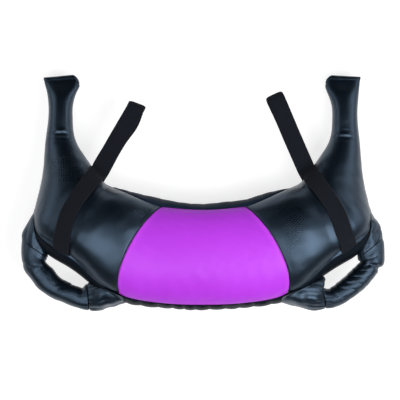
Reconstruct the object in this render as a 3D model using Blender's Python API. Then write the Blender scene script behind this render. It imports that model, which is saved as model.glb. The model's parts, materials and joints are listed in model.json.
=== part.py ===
"""Bulgarian bag: a stuffed crescent training bag with two horn grips, two padded side
handles and two webbing loops. It lies on its back: +Z is up through its thickness, +Y runs
from the belly towards the horn tips, and the origin is the middle of the flat underside.
Every piece of the left side has a mirrored twin on the right."""

import math

import bmesh
import bpy
import numpy as np
from mathutils import Matrix, Vector
from mathutils.bvhtree import BVHTree

MM = 0.001

# Overall shape of the stuffed shell
SPINE_HALF_SPAN = 239 * MM  # middle of the belly to the middle line of a horn
SPINE_RISE = 302 * MM  # middle line of the belly to the tip of a horn
BELLY_WIDTH = 179 * MM  # across the belly, edge to edge, as it lies
BELLY_THICKNESS = 142 * MM
BELLY_SETTLE = 5 * MM  # how far the underside is pressed flat by lying on it
UNDERSIDE_LIFT = 27 * MM  # underside of a horn tip above the ground
HORN_WIDTH = 42 * MM
HORN_THICKNESS = 41 * MM
HORN_END_WIDTH = 58 * MM  # the tube pressed flat at its sewn end
HORN_END_THICKNESS = 6 * MM
SECTION_POWER = 2.15  # 2 is an ellipse, more is squarer

# Cover and filling
COVER_WALL = 1.6 * MM
SEAM_GAP = 0.7 * MM
LINING_GAP = 2.4 * MM  # cover to the filling behind it
PADDING_WALL = 14 * MM
SLEEVE_GAP = 2.4 * MM  # padding to the sand sleeves
GUSSET_WIDTH = 62 * MM
GUSSET_TIP_WIDTH = 3 * MM
PIECE_GAP = 0.4 * MM

# Horn bend
BEND_LENGTH = 19 * MM  # soft stretch of a horn where it folds
CREASE_DEPTH = 1.6 * MM
CREASE_PITCH = 5 * MM

# Webbing
WEBBING_WIDTH = 30 * MM
WEBBING_THICKNESS = 1.6 * MM
WEBBING_GAP = 0.6 * MM  # webbing to the cover that it is sewn to
LOOP_LENGTH = 140 * MM  # fold line at the bag to the tip of the loop
LOOP_TIP_RADIUS = 10 * MM
LOOP_ROLL_RADIUS = 2.2 * MM  # the doubled webbing where it folds at the bag
LOOP_LEAN = {"left": 28.0, "right": 24.0}  # degrees from +Y, towards the middle
LOOP_TWIST = {"left": 9.0, "right": 4.0}  # degrees about the loop's own length, at its tip
LOOP_SQUARED_AT = 1 / 3  # share of its length where the loop lies square to its own line

# Side handles
HANDLE_BOW = 24 * MM  # how far the handle arches out from the line between its ends
HANDLE_RADIUS = 19.5 * MM
HANDLE_END_RADIUS = 16.5 * MM
HANDLE_HEIGHT = 64 * MM  # middle line of the handle above the ground
HANDLE_STANDOFF_UPPER = 3.4 * MM  # handle end to the shell's outer edge
HANDLE_STANDOFF_LOWER = 12.6 * MM

# Stations along the bag, one for each profile row: 0 is the left horn tip, 18 the middle of
# the belly and 36 the right horn tip
MIDDLE_STATION = 18
LAST_STATION = 2 * MIDDLE_STATION
NEAR_STATION = 0.05  # a short way along, to measure directions and lengths by
NEAR_TURN = 0.02  # radians, a short way round a section
SAME_STATION = 1e-6
HEM_END = 0.3
HORN_FILLING_START = 1.0
BEND_STATION = 5.24
SIDE_FILLING_END = 8.7  # where a horn's root filling meets the padding and a sand sleeve
SAND_JOINT = 13.9
CENTRE_SEAM = 15.09
CENTRE_SEAM_BULGE = 0.5  # towards the horn, at mid height
CENTRE_SEAM_LEAN = 0.16
OUTER_GUSSET_START, OUTER_GUSSET_FULL = 9.3, 11.0
INNER_GUSSET_START, INNER_GUSSET_FULL = 11.8, 15.4
HANDLE_UPPER_STATION, HANDLE_LOWER_STATION = 11.4, 13.85

# One row per station: spine x, spine y, section angle in degrees, then shares of the width,
# thickness and underside heights that the row follows.
HORN_END_ROW_SHARES = [
    # x, y, angle, width, thickness, lift
    (0.990, 1.000, 0.8, 1.00, 1.00, 1.00),
    (0.988, 0.962, 0.0, 0.93, 3.50, 0.72),
]
HORN_ROW_SHARES = [
    (0.990, 0.912, 0.0, 1.14, 0.82, 0.58),
    (0.995, 0.845, 0.0, 1.00, 0.97, 0.53),
    (0.996, 0.773, 0.0, 1.00, 1.02, 0.57),
    (0.999, 0.703, 2.0, 1.09, 1.05, 0.61),
    (0.996, 0.633, 3.6, 1.28, 1.18, 0.64),
]
BELLY_ROW_SHARES = [
    # x, y, angle, width, thickness, lift, settle
    (0.980, 0.558, 10.1, 0.374, 0.42, 0.60, 0.0),
    (0.965, 0.475, 19.3, 0.482, 0.55, 0.46, 0.0),
    (0.962, 0.392, 27.3, 0.634, 0.68, 0.34, 0.0),
    (0.958, 0.318, 32.6, 0.774, 0.79, 0.25, 0.0),
    (0.925, 0.251, 39.9, 0.856, 0.87, 0.19, 0.0),
    (0.844, 0.196, 48.4, 0.891, 0.925, 0.16, 0.0),
    (0.728, 0.153, 55.8, 0.902, 0.96, 0.10, 0.0),
    (0.601, 0.094, 62.5, 0.976, 0.98, 0.02, 0.2),
    (0.457, 0.041, 69.3, 1.035, 0.99, 0.0, 0.7),
    (0.289, 0.015, 76.7, 1.022, 1.00, 0.0, 1.0),
    (0.141, 0.003, 84.1, 1.007, 1.00, 0.0, 1.0),
    (0.000, 0.000, 90.0, 1.000, 1.00, 0.0, 1.0),
]

# Middle line of a sewn strap over one face: station, and degrees round the section from the
# inner edge
STRAP_ROUTE = [
    (12.15, 141),
    (11.75, 125),
    (11.15, 103),
    (10.57, 87),
    (10.13, 66),
    (9.8, 40),
    (9.6, 18),
    (9.5, 2.5),
]

# Sections of the handles' anchor tabs along the outer edge: station, then shares of the
# handle's end radius for the distance out from the edge, the half width and the half height
UPPER_TAB_SHARES = [(10.9, 0.62, 0.92, 1.45), (10.35, 0.35, 0.62, 1.7), (9.8, 0.0, 0.25, 1.5)]
LOWER_TAB_SHARES = [(14.4, 0.95, 1.02, 1.33), (14.78, 0.45, 0.70, 1.7), (15.15, 0.05, 0.30, 1.8)]

STRAP_EDGE_ROWS = 4  # rows over which a strap's end turns to lie along the inner edge

# How finely the shapes are divided
CELLS_PER_STATION = 1.6
FILLING_CELLS_PER_STATION = 1.1
FACE_CELLS = 10
GUSSET_CELLS = 4
HORN_ROUND_CELLS = 20
SLEEVE_ROUND_CELLS = 16
STRAP_ROWS = 14
STRAP_CELLS = 4
LOOP_CELLS = 3
LOOP_PLY_CELLS = 7
LOOP_TIP_CELLS = 7
LOOP_ROOT_CELLS = 6
HANDLE_CELLS = 12
HANDLE_ROUND_CELLS = 12
BEND_CELLS = 10
SURFACE_ROWS, SURFACE_COLUMNS = 190, 96
ENVELOPE_ROWS, ENVELOPE_COLUMNS = 120, 72
SMOOTH_ANGLE = 40.0  # degrees between faces, above which an edge stays sharp

COLOURS = {
    "black_leatherette": ((0.018, 0.022, 0.029, 1), 0.42),
    "purple_leatherette": ((0.42, 0.06, 0.72, 1), 0.45),
    "webbing": ((0.012, 0.013, 0.016, 1), 0.9),
    "textile_filling": ((0.55, 0.53, 0.48, 1), 1.0),
    "sand_sleeve": ((0.42, 0.36, 0.26, 1), 0.95),
    "handle_foam": ((0.30, 0.31, 0.33, 1), 0.9),
}


def clear_scene():
    for old in list(bpy.data.objects):
        bpy.data.objects.remove(old)


def material(slot):
    made = bpy.data.materials.get(slot)
    if made is None:
        colour, roughness = COLOURS[slot]
        made = bpy.data.materials.new(slot)
        made.use_nodes = True
        made.diffuse_color = colour
        shader = made.node_tree.nodes["Principled BSDF"]
        shader.inputs["Base Color"].default_value = colour
        shader.inputs["Roughness"].default_value = roughness
        shader.inputs["Metallic"].default_value = 0.0
    return made


def add_object(name, vertices, faces, slot):
    """A closed mesh as a named object, with its faces pointing out."""
    mesh = bpy.data.meshes.new(name)
    mesh.from_pydata([tuple(v) for v in vertices], [], faces)
    shape = bmesh.new()
    shape.from_mesh(mesh)
    bmesh.ops.recalc_face_normals(shape, faces=shape.faces)
    shape.to_mesh(mesh)
    shape.free()
    mesh.shade_smooth()
    mesh.set_sharp_from_angle(angle=math.radians(SMOOTH_ANGLE))
    if slot:
        mesh.materials.append(material(slot))
    made = bpy.data.objects.new(name, mesh)
    bpy.context.scene.collection.objects.link(made)
    return made


def set_pivot(made, point):
    """Moves an object's origin to a point on its joint's axis. The piece stays in place."""
    shift = Vector(point)
    made.data.transform(Matrix.Translation(-shift))
    made.location = shift


# Shape of the stuffed shell


def profile_rows():
    """Spine x, spine y, section angle, width, thickness and underside height, tip to tip."""
    rows = []
    for x, y, angle, width, thickness, lift in HORN_END_ROW_SHARES:
        rows.append((x, y, angle, width * HORN_END_WIDTH, thickness * HORN_END_THICKNESS, lift, 0.0))
    for x, y, angle, width, thickness, lift in HORN_ROW_SHARES:
        rows.append((x, y, angle, width * HORN_WIDTH, thickness * HORN_THICKNESS, lift, 0.0))
    for x, y, angle, width, thickness, lift, settle in BELLY_ROW_SHARES:
        rows.append((x, y, angle, width * BELLY_WIDTH, thickness * BELLY_THICKNESS, lift, settle))
    left = np.array(
        [
            (
                -x * SPINE_HALF_SPAN,
                y * SPINE_RISE,
                math.radians(angle),
                width,
                thickness,
                lift * UNDERSIDE_LIFT - settle * BELLY_SETTLE,
            )
            for x, y, angle, width, thickness, lift, settle in rows
        ]
    )
    right = left[-2::-1].copy()
    right[:, 0] *= -1
    right[:, 2] = math.pi - right[:, 2]
    return np.concatenate([left, right])


PROFILE = profile_rows()


def profile_at(stations):
    """Catmull-Rom through the profile rows, at any array of stations."""
    u = np.clip(np.asarray(stations, float), 0, LAST_STATION)
    i = np.minimum(u.astype(int), LAST_STATION - 1)
    t = (u - i)[..., None]
    before, start = PROFILE[np.maximum(i - 1, 0)], PROFILE[i]
    end, after = PROFILE[i + 1], PROFILE[np.minimum(i + 2, LAST_STATION)]
    leave, arrive = (end - before) / 2, (after - start) / 2
    return (
        (2 * t**3 - 3 * t**2 + 1) * start
        + (t**3 - 2 * t**2 + t) * leave
        + (3 * t**2 - 2 * t**3) * end
        + (t**3 - t**2) * arrive
    )


def shell_points(stations, angles, depth=0.0):
    """Points depth below the shell's surface. Angle 0 is the inner edge, a quarter turn is
    the front face, half a turn the outer edge and three quarters the back face."""
    stations, angles = np.broadcast_arrays(np.asarray(stations, float), np.asarray(angles, float))
    x, y, turn, width, thickness, underside = np.moveaxis(profile_at(stations), -1, 0)
    power = 2 / SECTION_POWER
    cosine, sine = np.cos(angles), np.sin(angles)
    across = (width / 2 - depth) * np.sign(cosine) * np.abs(cosine) ** power
    up = (thickness / 2 - depth) * np.sign(sine) * np.abs(sine) ** power
    height = np.maximum(underside + thickness / 2 + up, depth)
    return np.stack([x + across * np.cos(turn), y + across * np.sin(turn), height], axis=-1)


def edge_angle(stations, half_width):
    """How far round the section a band reaches that is half_width each side of the edge."""
    thickness = profile_at(stations)[..., 4]
    return np.arcsin(np.clip(half_width / (thickness / 2), 0, 1) ** (SECTION_POWER / 2))


def gusset_half_width(stations, start, full):
    """Half the gusset's width: it runs out to a point towards each horn."""
    from_tip = np.minimum(stations, LAST_STATION - stations)
    grown = np.clip((from_tip - start) / (full - start), 0, 1)
    eased = grown * (2 - grown)
    width = GUSSET_TIP_WIDTH + (GUSSET_WIDTH - GUSSET_TIP_WIDTH) * eased
    before = from_tip < start - SAME_STATION
    return np.where(before, 0.0, width / 2)


def inner_half_width(stations):
    return gusset_half_width(stations, INNER_GUSSET_START, INNER_GUSSET_FULL)


def outer_half_width(stations):
    return gusset_half_width(stations, OUTER_GUSSET_START, OUTER_GUSSET_FULL)


def centre_seam(share):
    """Station of the seam between side and centre panel, at a share of the way across."""
    bulge = CENTRE_SEAM_BULGE * np.sin(math.pi * share)
    return CENTRE_SEAM - bulge + CENTRE_SEAM_LEAN * (1 - 2 * share)


def station_offset(station, length):
    """How many stations a length along the inner edge is, near a station."""
    here = shell_points(station - NEAR_STATION, 0.0)
    there = shell_points(station + NEAR_STATION, 0.0)
    return length * 2 * NEAR_STATION / float(np.linalg.norm(there - here))


def cell_count(first, last, per_station=CELLS_PER_STATION):
    return max(2, round((last - first) * per_station))


def split_cell(points, a, b, c, d):
    """Two triangles for a four-sided cell, split along its shorter diagonal."""
    if np.linalg.norm(points[a] - points[c]) <= np.linalg.norm(points[b] - points[d]):
        return (a, b, c), (a, c, d)
    return (a, b, d), (b, c, d)


def layer_between(name, outer, inner, slot, ring=False):
    """A closed layer between two grids of points. A ring grid joins its last column to its first."""
    rows, columns = outer.shape[:2]
    inside = rows * columns
    last = columns if ring else columns - 1
    flat = outer.reshape(-1, 3)
    faces = []
    for i in range(rows - 1):
        for j in range(last):
            a, b = i * columns + j, i * columns + (j + 1) % columns
            for cell in split_cell(flat, a, b, b + columns, a + columns):
                faces.append(cell)
                faces.append(tuple(inside + k for k in reversed(cell)))
    for i in (0, rows - 1):
        for j in range(last):
            a, b = i * columns + j, i * columns + (j + 1) % columns
            faces.append((a, inside + a, inside + b, b))
    if not ring:
        for j in (0, columns - 1):
            for i in range(rows - 1):
                a = i * columns + j
                faces.append((a, a + columns, inside + a + columns, inside + a))
    vertices = np.concatenate([outer.reshape(-1, 3), inner.reshape(-1, 3)])
    return add_object(name, vertices, faces, slot)


def solid_of_rings(name, rings, slot):
    """A closed solid through a row of flat rings, capped at both ends."""
    rows, columns = rings.shape[:2]
    flat = rings.reshape(-1, 3)
    faces = [tuple(range(columns)), tuple(range((rows - 1) * columns, rows * columns))]
    for i in range(rows - 1):
        for j in range(columns):
            a, b = i * columns + j, i * columns + (j + 1) % columns
            faces.extend(split_cell(flat, a, b, b + columns, a + columns))
    return add_object(name, rings.reshape(-1, 3), faces, slot)


# Cover of the body


def side_stations(share):
    """Rows of the left side panel, from the horn's bend to the centre seam, for each share
    of the way across. There is a row where each gusset begins."""
    start = bend_stations()[1] + station_offset(BEND_STATION, PIECE_GAP)
    seam = centre_seam(share) - station_offset(CENTRE_SEAM, SEAM_GAP) / 2
    stops = [start, OUTER_GUSSET_START, INNER_GUSSET_START, CENTRE_SEAM]
    lines = [np.full(len(share), stop) for stop in stops[:-1]] + [seam]
    rows = [lines[0][None, :]]
    for k in range(len(stops) - 1):
        along = np.linspace(0, 1, cell_count(stops[k], stops[k + 1]) + 1)[1:, None]
        rows.append(lines[k] + (lines[k + 1] - lines[k]) * along)
    return np.concatenate(rows)


def centre_stations(share):
    seam = centre_seam(share) + station_offset(CENTRE_SEAM, SEAM_GAP) / 2
    along = np.linspace(0, 1, cell_count(CENTRE_SEAM, LAST_STATION - CENTRE_SEAM) + 1)[:, None]
    return seam + (LAST_STATION - 2 * seam) * along


def face_panel(name, stations, share, front, slot):
    seam = SEAM_GAP / profile_at(stations)[..., 4]
    low = edge_angle(stations, inner_half_width(stations)) + seam
    high = math.pi - edge_angle(stations, outer_half_width(stations)) - seam
    angles = low + (high - low) * share
    if not front:
        angles = -angles
    outer = shell_points(stations, angles)
    inner = shell_points(stations, angles, COVER_WALL)
    return layer_between(name, outer, inner, slot)


def face_panels(front, centre_slot):
    """The centre panel of the front or back, and the two side panels that reach up the horns."""
    face = "front" if front else "back"
    share = np.linspace(0, 1, FACE_CELLS + 1)
    left = side_stations(share)
    face_panel(f"{face}_centre_panel", centre_stations(share), share, front, centre_slot)
    face_panel(f"{face}_side_panel_left", left, share, front, "black_leatherette")
    face_panel(f"{face}_side_panel_right", LAST_STATION - left[::-1], share, front, "black_leatherette")


def gusset(name, share, half_width, start):
    """The band of cover along the inner edge (share 0) or the outer edge (share 1), with the
    same rows as the panels that it is sewn to."""
    side = side_stations(np.array([share]))[:-1, 0]
    centre = centre_stations(np.array([share]))[1:-1, 0]
    seam = centre_seam(share)
    side = side[side > start - SAME_STATION]
    rows = np.concatenate([side, [seam], centre, [LAST_STATION - seam], LAST_STATION - side[::-1]])[:, None]
    gap = SEAM_GAP / profile_at(rows)[..., 4]
    reach = edge_angle(rows, half_width(rows)) - gap
    angles = math.pi * share + reach * np.linspace(-1, 1, GUSSET_CELLS + 1)
    outer = shell_points(rows, angles)
    inner = shell_points(rows, angles, COVER_WALL)
    layer_between(name, outer, inner, "black_leatherette")


# Filling


def filling_stations():
    """Rows of the padding, with one where each sand sleeve meets the next."""
    first = SIDE_FILLING_END + station_offset(SIDE_FILLING_END, PIECE_GAP)
    outer_cells = cell_count(first, SAND_JOINT, FILLING_CELLS_PER_STATION)
    centre_cells = cell_count(SAND_JOINT, LAST_STATION - SAND_JOINT, FILLING_CELLS_PER_STATION)
    left = np.linspace(first, SAND_JOINT, outer_cells + 1)
    centre = np.linspace(SAND_JOINT, LAST_STATION - SAND_JOINT, centre_cells + 1)
    return left, centre


def padding(front):
    """A layer of wadding behind one face, round the sand sleeves."""
    left, centre = filling_stations()
    stations = np.concatenate([left, centre[1:-1], LAST_STATION - left[::-1]])[:, None]
    outside = COVER_WALL + LINING_GAP
    thickness = profile_at(stations)[..., 4]
    edge = PIECE_GAP / (thickness / 2 - outside - PADDING_WALL)
    angles = edge + (math.pi - 2 * edge) * np.linspace(0, 1, FACE_CELLS + 1)
    if not front:
        angles = -angles
    outer = shell_points(stations, angles, outside)
    inner = shell_points(stations, angles, outside + PADDING_WALL)
    layer_between(f"padding_{'front' if front else 'back'}", outer, inner, "textile_filling")


def filled_tube(name, stations, depth, slot, round_cells):
    """Everything deeper than depth along a row of stations, as one solid."""
    angles = np.linspace(0, 2 * math.pi, round_cells, endpoint=False)
    return solid_of_rings(name, shell_points(stations[:, None], angles, depth), slot)


def sand_sleeves():
    depth = COVER_WALL + LINING_GAP + PADDING_WALL + SLEEVE_GAP
    left, centre = filling_stations()
    gap = station_offset(SAND_JOINT, PIECE_GAP)
    centre[0] += gap
    centre[-1] -= gap
    filled_tube("sand_sleeve_left", left, depth, "sand_sleeve", SLEEVE_ROUND_CELLS)
    filled_tube("sand_sleeve_centre", centre, depth, "sand_sleeve", SLEEVE_ROUND_CELLS)
    filled_tube("sand_sleeve_right", LAST_STATION - left[::-1], depth, "sand_sleeve", SLEEVE_ROUND_CELLS)


# Horns


def bend_stations():
    """Where the soft bend of the left horn begins and ends."""
    half = station_offset(BEND_STATION, BEND_LENGTH / 2)
    return BEND_STATION - half, BEND_STATION + half


def bend_pivot(side):
    """Middle of the horn where it folds. The fold's axis runs across it, along X."""
    station = BEND_STATION if side == "left" else LAST_STATION - BEND_STATION
    x, y, _, _, thickness, underside = profile_at(station)
    return x, y, underside + thickness / 2


def span(side, first, last):
    """Two stations of the left side, or their twins on the right."""
    return (first, last) if side == "left" else (LAST_STATION - last, LAST_STATION - first)


def horn(side):
    bend_start, bend_end = bend_stations()
    gap = station_offset(BEND_STATION, PIECE_GAP)
    stations = rows_between(side, HEM_END + gap, bend_start - gap)
    inside = COVER_WALL + LINING_GAP
    angles = np.linspace(0, 2 * math.pi, HORN_ROUND_CELLS, endpoint=False)
    outer = shell_points(stations[:, None], angles)
    inner = shell_points(stations[:, None], angles, COVER_WALL)
    hem = shell_points(np.array(span(side, 0.0, HEM_END))[:, None], angles)
    stem = rows_between(side, HORN_FILLING_START, bend_start - gap)
    moving = [
        layer_between(f"horn_cover_{side}", outer, inner, "black_leatherette", ring=True),
        filled_tube(f"horn_filling_{side}", stem, inside, "textile_filling", SLEEVE_ROUND_CELLS),
        solid_of_rings(f"horn_end_hem_{side}", hem, "black_leatherette"),
    ]
    pivot = bend_pivot(side)
    for made in moving:
        set_pivot(made, pivot)
    print(f"horn {side}: bend at {np.round(pivot, 4)}")
    root = rows_between(side, bend_end + gap, SIDE_FILLING_END)
    filled_tube(f"horn_root_filling_{side}", root, inside, "textile_filling", HORN_ROUND_CELLS)
    horn_bend(side, bend_start, bend_end)


def rows_between(side, first, last):
    first, last = span(side, first, last)
    return np.linspace(first, last, cell_count(first, last) + 1)


def horn_bend(side, first, last):
    """The soft stretch that folds, with two creases across its front face."""
    first, last = span(side, first, last)
    stations = np.linspace(first, last, BEND_CELLS + 1)
    angles = np.linspace(0, 2 * math.pi, HORN_ROUND_CELLS, endpoint=False)
    along = (stations - stations.mean()) / (last - first) * BEND_LENGTH
    pinch = np.zeros_like(along)
    for middle in (-CREASE_PITCH / 2, CREASE_PITCH / 2):
        pinch += np.clip(1 - np.abs(along - middle) / (CREASE_PITCH / 2), 0, 1)
    front = np.clip(np.sin(angles), 0, 1) ** 2
    points = shell_points(stations[:, None], angles)
    points[..., 2] -= CREASE_DEPTH * pinch[:, None] * front
    solid_of_rings(f"horn_bend_{side}", points, "black_leatherette")


# Webbing


def shell_surface():
    """The whole outer surface, finely divided, to lay webbing on."""
    stations = np.linspace(BEND_STATION, LAST_STATION - BEND_STATION, SURFACE_ROWS)
    angles = np.linspace(0, 2 * math.pi, SURFACE_COLUMNS, endpoint=False)
    points = shell_points(stations[:, None], angles)
    rows, columns = points.shape[:2]
    faces = [
        (i * columns + j, i * columns + (j + 1) % columns,
         (i + 1) * columns + (j + 1) % columns, (i + 1) * columns + j)
        for i in range(rows - 1)
        for j in range(columns)
    ]
    return BVHTree.FromPolygons([tuple(p) for p in points.reshape(-1, 3)], faces)


def unit(vector):
    return vector / np.linalg.norm(vector)


def eased(share):
    """A share from 0 to 1 that leaves and arrives gently."""
    return share * share * (3 - 2 * share)


def along_way(station, angle):
    """Direction along the bag at a point of its surface."""
    ahead = shell_points(station + NEAR_STATION, angle)
    return unit(ahead - shell_points(station - NEAR_STATION, angle))


def surface_normal(station, angle):
    before, after = shell_points(station, angle - NEAR_TURN), shell_points(station, angle + NEAR_TURN)
    return unit(np.cross(after - before, along_way(station, angle)))


def strap_frames(side, front):
    """Middle, width direction and outward normal at points along a sewn strap."""
    table = np.array(STRAP_ROUTE, float)
    at = np.linspace(0, len(table) - 1, STRAP_ROWS + 1)
    stations = np.interp(at, range(len(table)), table[:, 0])
    angles = np.radians(np.interp(at, range(len(table)), table[:, 1]))
    if side == "right":
        stations = LAST_STATION - stations
    if not front:
        angles = -angles
    points = shell_points(stations, angles)
    frames = []
    for k, point in enumerate(points):
        ahead, behind = points[min(k + 1, STRAP_ROWS)], points[max(k - 1, 0)]
        normal = surface_normal(stations[k], angles[k])
        square = unit(np.cross(normal, unit(ahead - behind)))
        edge_way = along_way(stations[k], angles[k])
        if np.dot(edge_way, square) < 0:
            edge_way = -edge_way
        near_edge = np.clip(1 - (STRAP_ROWS - k) / STRAP_EDGE_ROWS, 0, 1)
        frames.append((point, unit(square * (1 - near_edge) + edge_way * near_edge), normal))
    return frames


def strap_run(surface, side, front):
    """Webbing sewn over one face, from the outer seam round to the inner edge."""
    share = np.linspace(-1, 1, STRAP_CELLS + 1)
    frames = strap_frames(side, front)
    lower = []
    for point, width_way, normal in frames:
        line = point + np.outer(share * WEBBING_WIDTH / 2, width_way)
        heights = []
        for spot in line:
            hit, hit_normal, _, _ = surface.find_nearest(Vector(spot))
            heights.append(float(np.dot(np.array(hit) - spot, normal)))
        ends = (heights[0] + heights[-1]) / 2
        bow = max(heights[STRAP_CELLS // 2], ends) - ends
        for k, spot in enumerate(line):
            rise = heights[0] + (heights[-1] - heights[0]) * (share[k] + 1) / 2
            rise += bow * (1 - share[k] ** 2)
            lower.append(spot + normal * (max(rise, heights[k]) + WEBBING_GAP))
    lower = np.array(lower).reshape(-1, len(share), 3)
    normals = np.array([normal for _, _, normal in frames])[:, None, :]
    upper = lower + normals * WEBBING_THICKNESS
    if not front:
        lower[..., 2] = np.maximum(lower[..., 2], WEBBING_THICKNESS)
        upper[..., 2] = np.maximum(upper[..., 2], 0.0)
    face = "front" if front else "back"
    layer_between(f"strap_{face}_{side}", upper, lower, "webbing")
    return upper[-1]


def loop_path():
    """Outline of the looped webbing in its own plane: distance out and height, for the outer
    and the inner face of the band, once round."""
    reach = LOOP_LENGTH - LOOP_TIP_RADIUS
    out = np.linspace(0, 1, LOOP_PLY_CELLS + 1)
    opening = eased(out)
    half = LOOP_ROLL_RADIUS + (LOOP_TIP_RADIUS - LOOP_ROLL_RADIUS) * opening
    inner_half = np.maximum(half - WEBBING_THICKNESS, PIECE_GAP / 2)
    start = 2 * LOOP_ROLL_RADIUS
    outer_top = np.stack([out * reach, half], axis=1)
    inner_top = np.stack([start + out * (reach - start), inner_half], axis=1)
    turn = np.linspace(math.pi / 2, -math.pi / 2, LOOP_TIP_CELLS + 1)[1:-1]
    wrap = np.stack([np.cos(turn), np.sin(turn)], axis=1)
    tip = np.array([reach, 0.0])
    outer_tip = tip + wrap * LOOP_TIP_RADIUS
    inner_tip = tip + wrap * inner_half[-1]
    root = np.linspace(-math.pi / 2, -3 * math.pi / 2, LOOP_ROOT_CELLS + 1)[1:-1]
    outer_root = np.stack([np.cos(root), np.sin(root)], axis=1) * LOOP_ROLL_RADIUS
    level = np.linspace(-inner_half[0], inner_half[0], len(root) + 2)[1:-1]
    inner_root = np.stack([np.full_like(level, start), level], axis=1)
    flip = np.array([1, -1])
    outer = np.concatenate([outer_top, outer_tip, outer_top[::-1] * flip, outer_root])
    inner = np.concatenate([inner_top, inner_tip, inner_top[::-1] * flip, inner_root])
    return outer, inner


def loop_frame(side, front_end):
    """Fold line of a loop: its middle, its direction, and the way that the loop lies."""
    first, last = front_end[0], front_end[-1]
    fold_way = last - first
    fold_way[2] = 0.0
    fold_way = unit(fold_way)
    lean = math.radians(LOOP_LEAN[side])
    inward = 1 if side == "left" else -1
    lie = np.array([inward * math.sin(lean), math.cos(lean), 0.0])
    out_way = np.array([fold_way[1], -fold_way[0], 0.0])
    if np.dot(out_way, lie) < 0:
        out_way = -out_way
    edge = front_end @ out_way
    station = STRAP_ROUTE[-1][0]
    row = profile_at(station)
    middle = (first + last) / 2
    middle = middle + out_way * (edge.max() - np.dot(middle, out_way))
    middle = middle + out_way * (LOOP_ROLL_RADIUS + PIECE_GAP)
    middle[2] = row[5] + row[4] / 2
    return middle, fold_way, lie


def webbing_loop(side, front_end):
    """The free loop of webbing beyond the fold line, as one closed band."""
    middle, fold_way, lie = loop_frame(side, front_end)
    up = np.array([0.0, 0.0, 1.0])
    square = np.cross(lie, up)
    if np.dot(square, fold_way) < 0:
        square = -square
    slant = WEBBING_WIDTH / np.dot(square, fold_way)
    outer, inner = loop_path()
    share = np.linspace(-0.5, 0.5, LOOP_CELLS + 1)
    twist = math.radians(LOOP_TWIST[side])
    grids = []
    for outline in (outer, inner):
        grid = []
        for distance, height in outline:
            along = np.clip(distance / LOOP_LENGTH, 0, 1)
            squared = eased(min(1.0, along / LOOP_SQUARED_AT))
            width = fold_way * slant * (1 - squared) + square * WEBBING_WIDTH * squared
            turn = twist * eased(along)
            offsets = np.outer(share, width) + up * height
            across, above = offsets @ square, offsets @ up
            spun = np.outer(across * math.cos(turn) - above * math.sin(turn), square)
            spun += np.outer(across * math.sin(turn) + above * math.cos(turn), up)
            grid.append(middle + np.outer(distance + offsets @ lie, lie) + spun)
        grids.append(np.transpose(np.array(grid), (1, 0, 2)))
    outer_grid, inner_grid = grids
    made = layer_between(f"strap_loop_{side}", outer_grid, inner_grid, "webbing", ring=True)
    set_pivot(made, middle)
    print(f"loop {side}: fold middle {np.round(middle, 4)}, fold line {np.round(fold_way, 4)}")


# Side handles


def outer_edge(station):
    return shell_points(station, math.pi)


def handle_ends(side):
    """Middle of the handle's two ends, upper then lower, for one side."""
    upper = outer_edge(HANDLE_UPPER_STATION)
    lower = outer_edge(HANDLE_LOWER_STATION)
    upper = upper - np.array([HANDLE_END_RADIUS + HANDLE_STANDOFF_UPPER, 0.0, 0.0])
    lower = lower - np.array([0.0, HANDLE_END_RADIUS + HANDLE_STANDOFF_LOWER, 0.0])
    upper[2] = lower[2] = HANDLE_HEIGHT
    if side == "right":
        upper[0], lower[0] = -upper[0], -lower[0]
    return upper, lower


def handle_line(side):
    """Points, directions and radii along the handle's middle line, an arc of a circle."""
    upper, lower = handle_ends(side)
    half_chord = np.linalg.norm(lower - upper) / 2
    radius = (half_chord**2 + HANDLE_BOW**2) / (2 * HANDLE_BOW)
    half_turn = math.asin(half_chord / radius)
    along = unit(lower - upper)
    outward = np.array([along[1], -along[0], 0.0])
    if outward[1] > 0:
        outward = -outward
    centre = (upper + lower) / 2 - outward * (radius - HANDLE_BOW)
    turns = np.linspace(-half_turn, half_turn, HANDLE_CELLS + 1)[:, None]
    points = centre + radius * (np.sin(turns) * along + np.cos(turns) * outward)
    ways = np.cos(turns) * along - np.sin(turns) * outward
    fullness = np.clip(np.cos(turns[:, 0] / half_turn * math.pi / 2), 0, 1) ** 0.5
    radii = HANDLE_END_RADIUS + (HANDLE_RADIUS - HANDLE_END_RADIUS) * fullness
    return points, ways, radii


def oval_rings(middles, ways, half_widths, half_heights):
    """Upright oval sections square to a line: half widths lie level, half heights stand."""
    turns = np.linspace(0, 2 * math.pi, HANDLE_ROUND_CELLS, endpoint=False)
    up = np.array([0.0, 0.0, 1.0])
    rings = []
    for middle, way, half_width, half_height in zip(middles, ways, half_widths, half_heights):
        level = half_width * unit(np.cross(way, up))
        rings.append(middle + np.outer(np.cos(turns), level) + np.outer(np.sin(turns), half_height * up))
    return np.array(rings)


def handle(side):
    points, ways, radii = handle_line(side)
    inner_radii = radii - COVER_WALL
    core_radii = inner_radii - PIECE_GAP
    outer = oval_rings(points, ways, radii, radii)
    inner = oval_rings(points, ways, inner_radii, inner_radii)
    core = oval_rings(points, ways, core_radii, core_radii)
    cover = layer_between(f"handle_cover_{side}", outer, inner, "black_leatherette", ring=True)
    set_pivot(cover, points[0])
    set_pivot(solid_of_rings(f"handle_core_{side}", core, "handle_foam"), points[0])


def shell_envelope():
    """A helper just outside the whole shell, which shapes what is sewn on to it."""
    stations = np.linspace(BEND_STATION, LAST_STATION - BEND_STATION, ENVELOPE_ROWS)
    angles = np.linspace(0, 2 * math.pi, ENVELOPE_COLUMNS, endpoint=False)
    points = shell_points(stations[:, None], angles, -PIECE_GAP)
    points[..., 2] -= PIECE_GAP
    envelope = solid_of_rings("shell_envelope", points, None)
    envelope.hide_render = True
    envelope.display_type = "WIRE"
    return envelope


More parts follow.
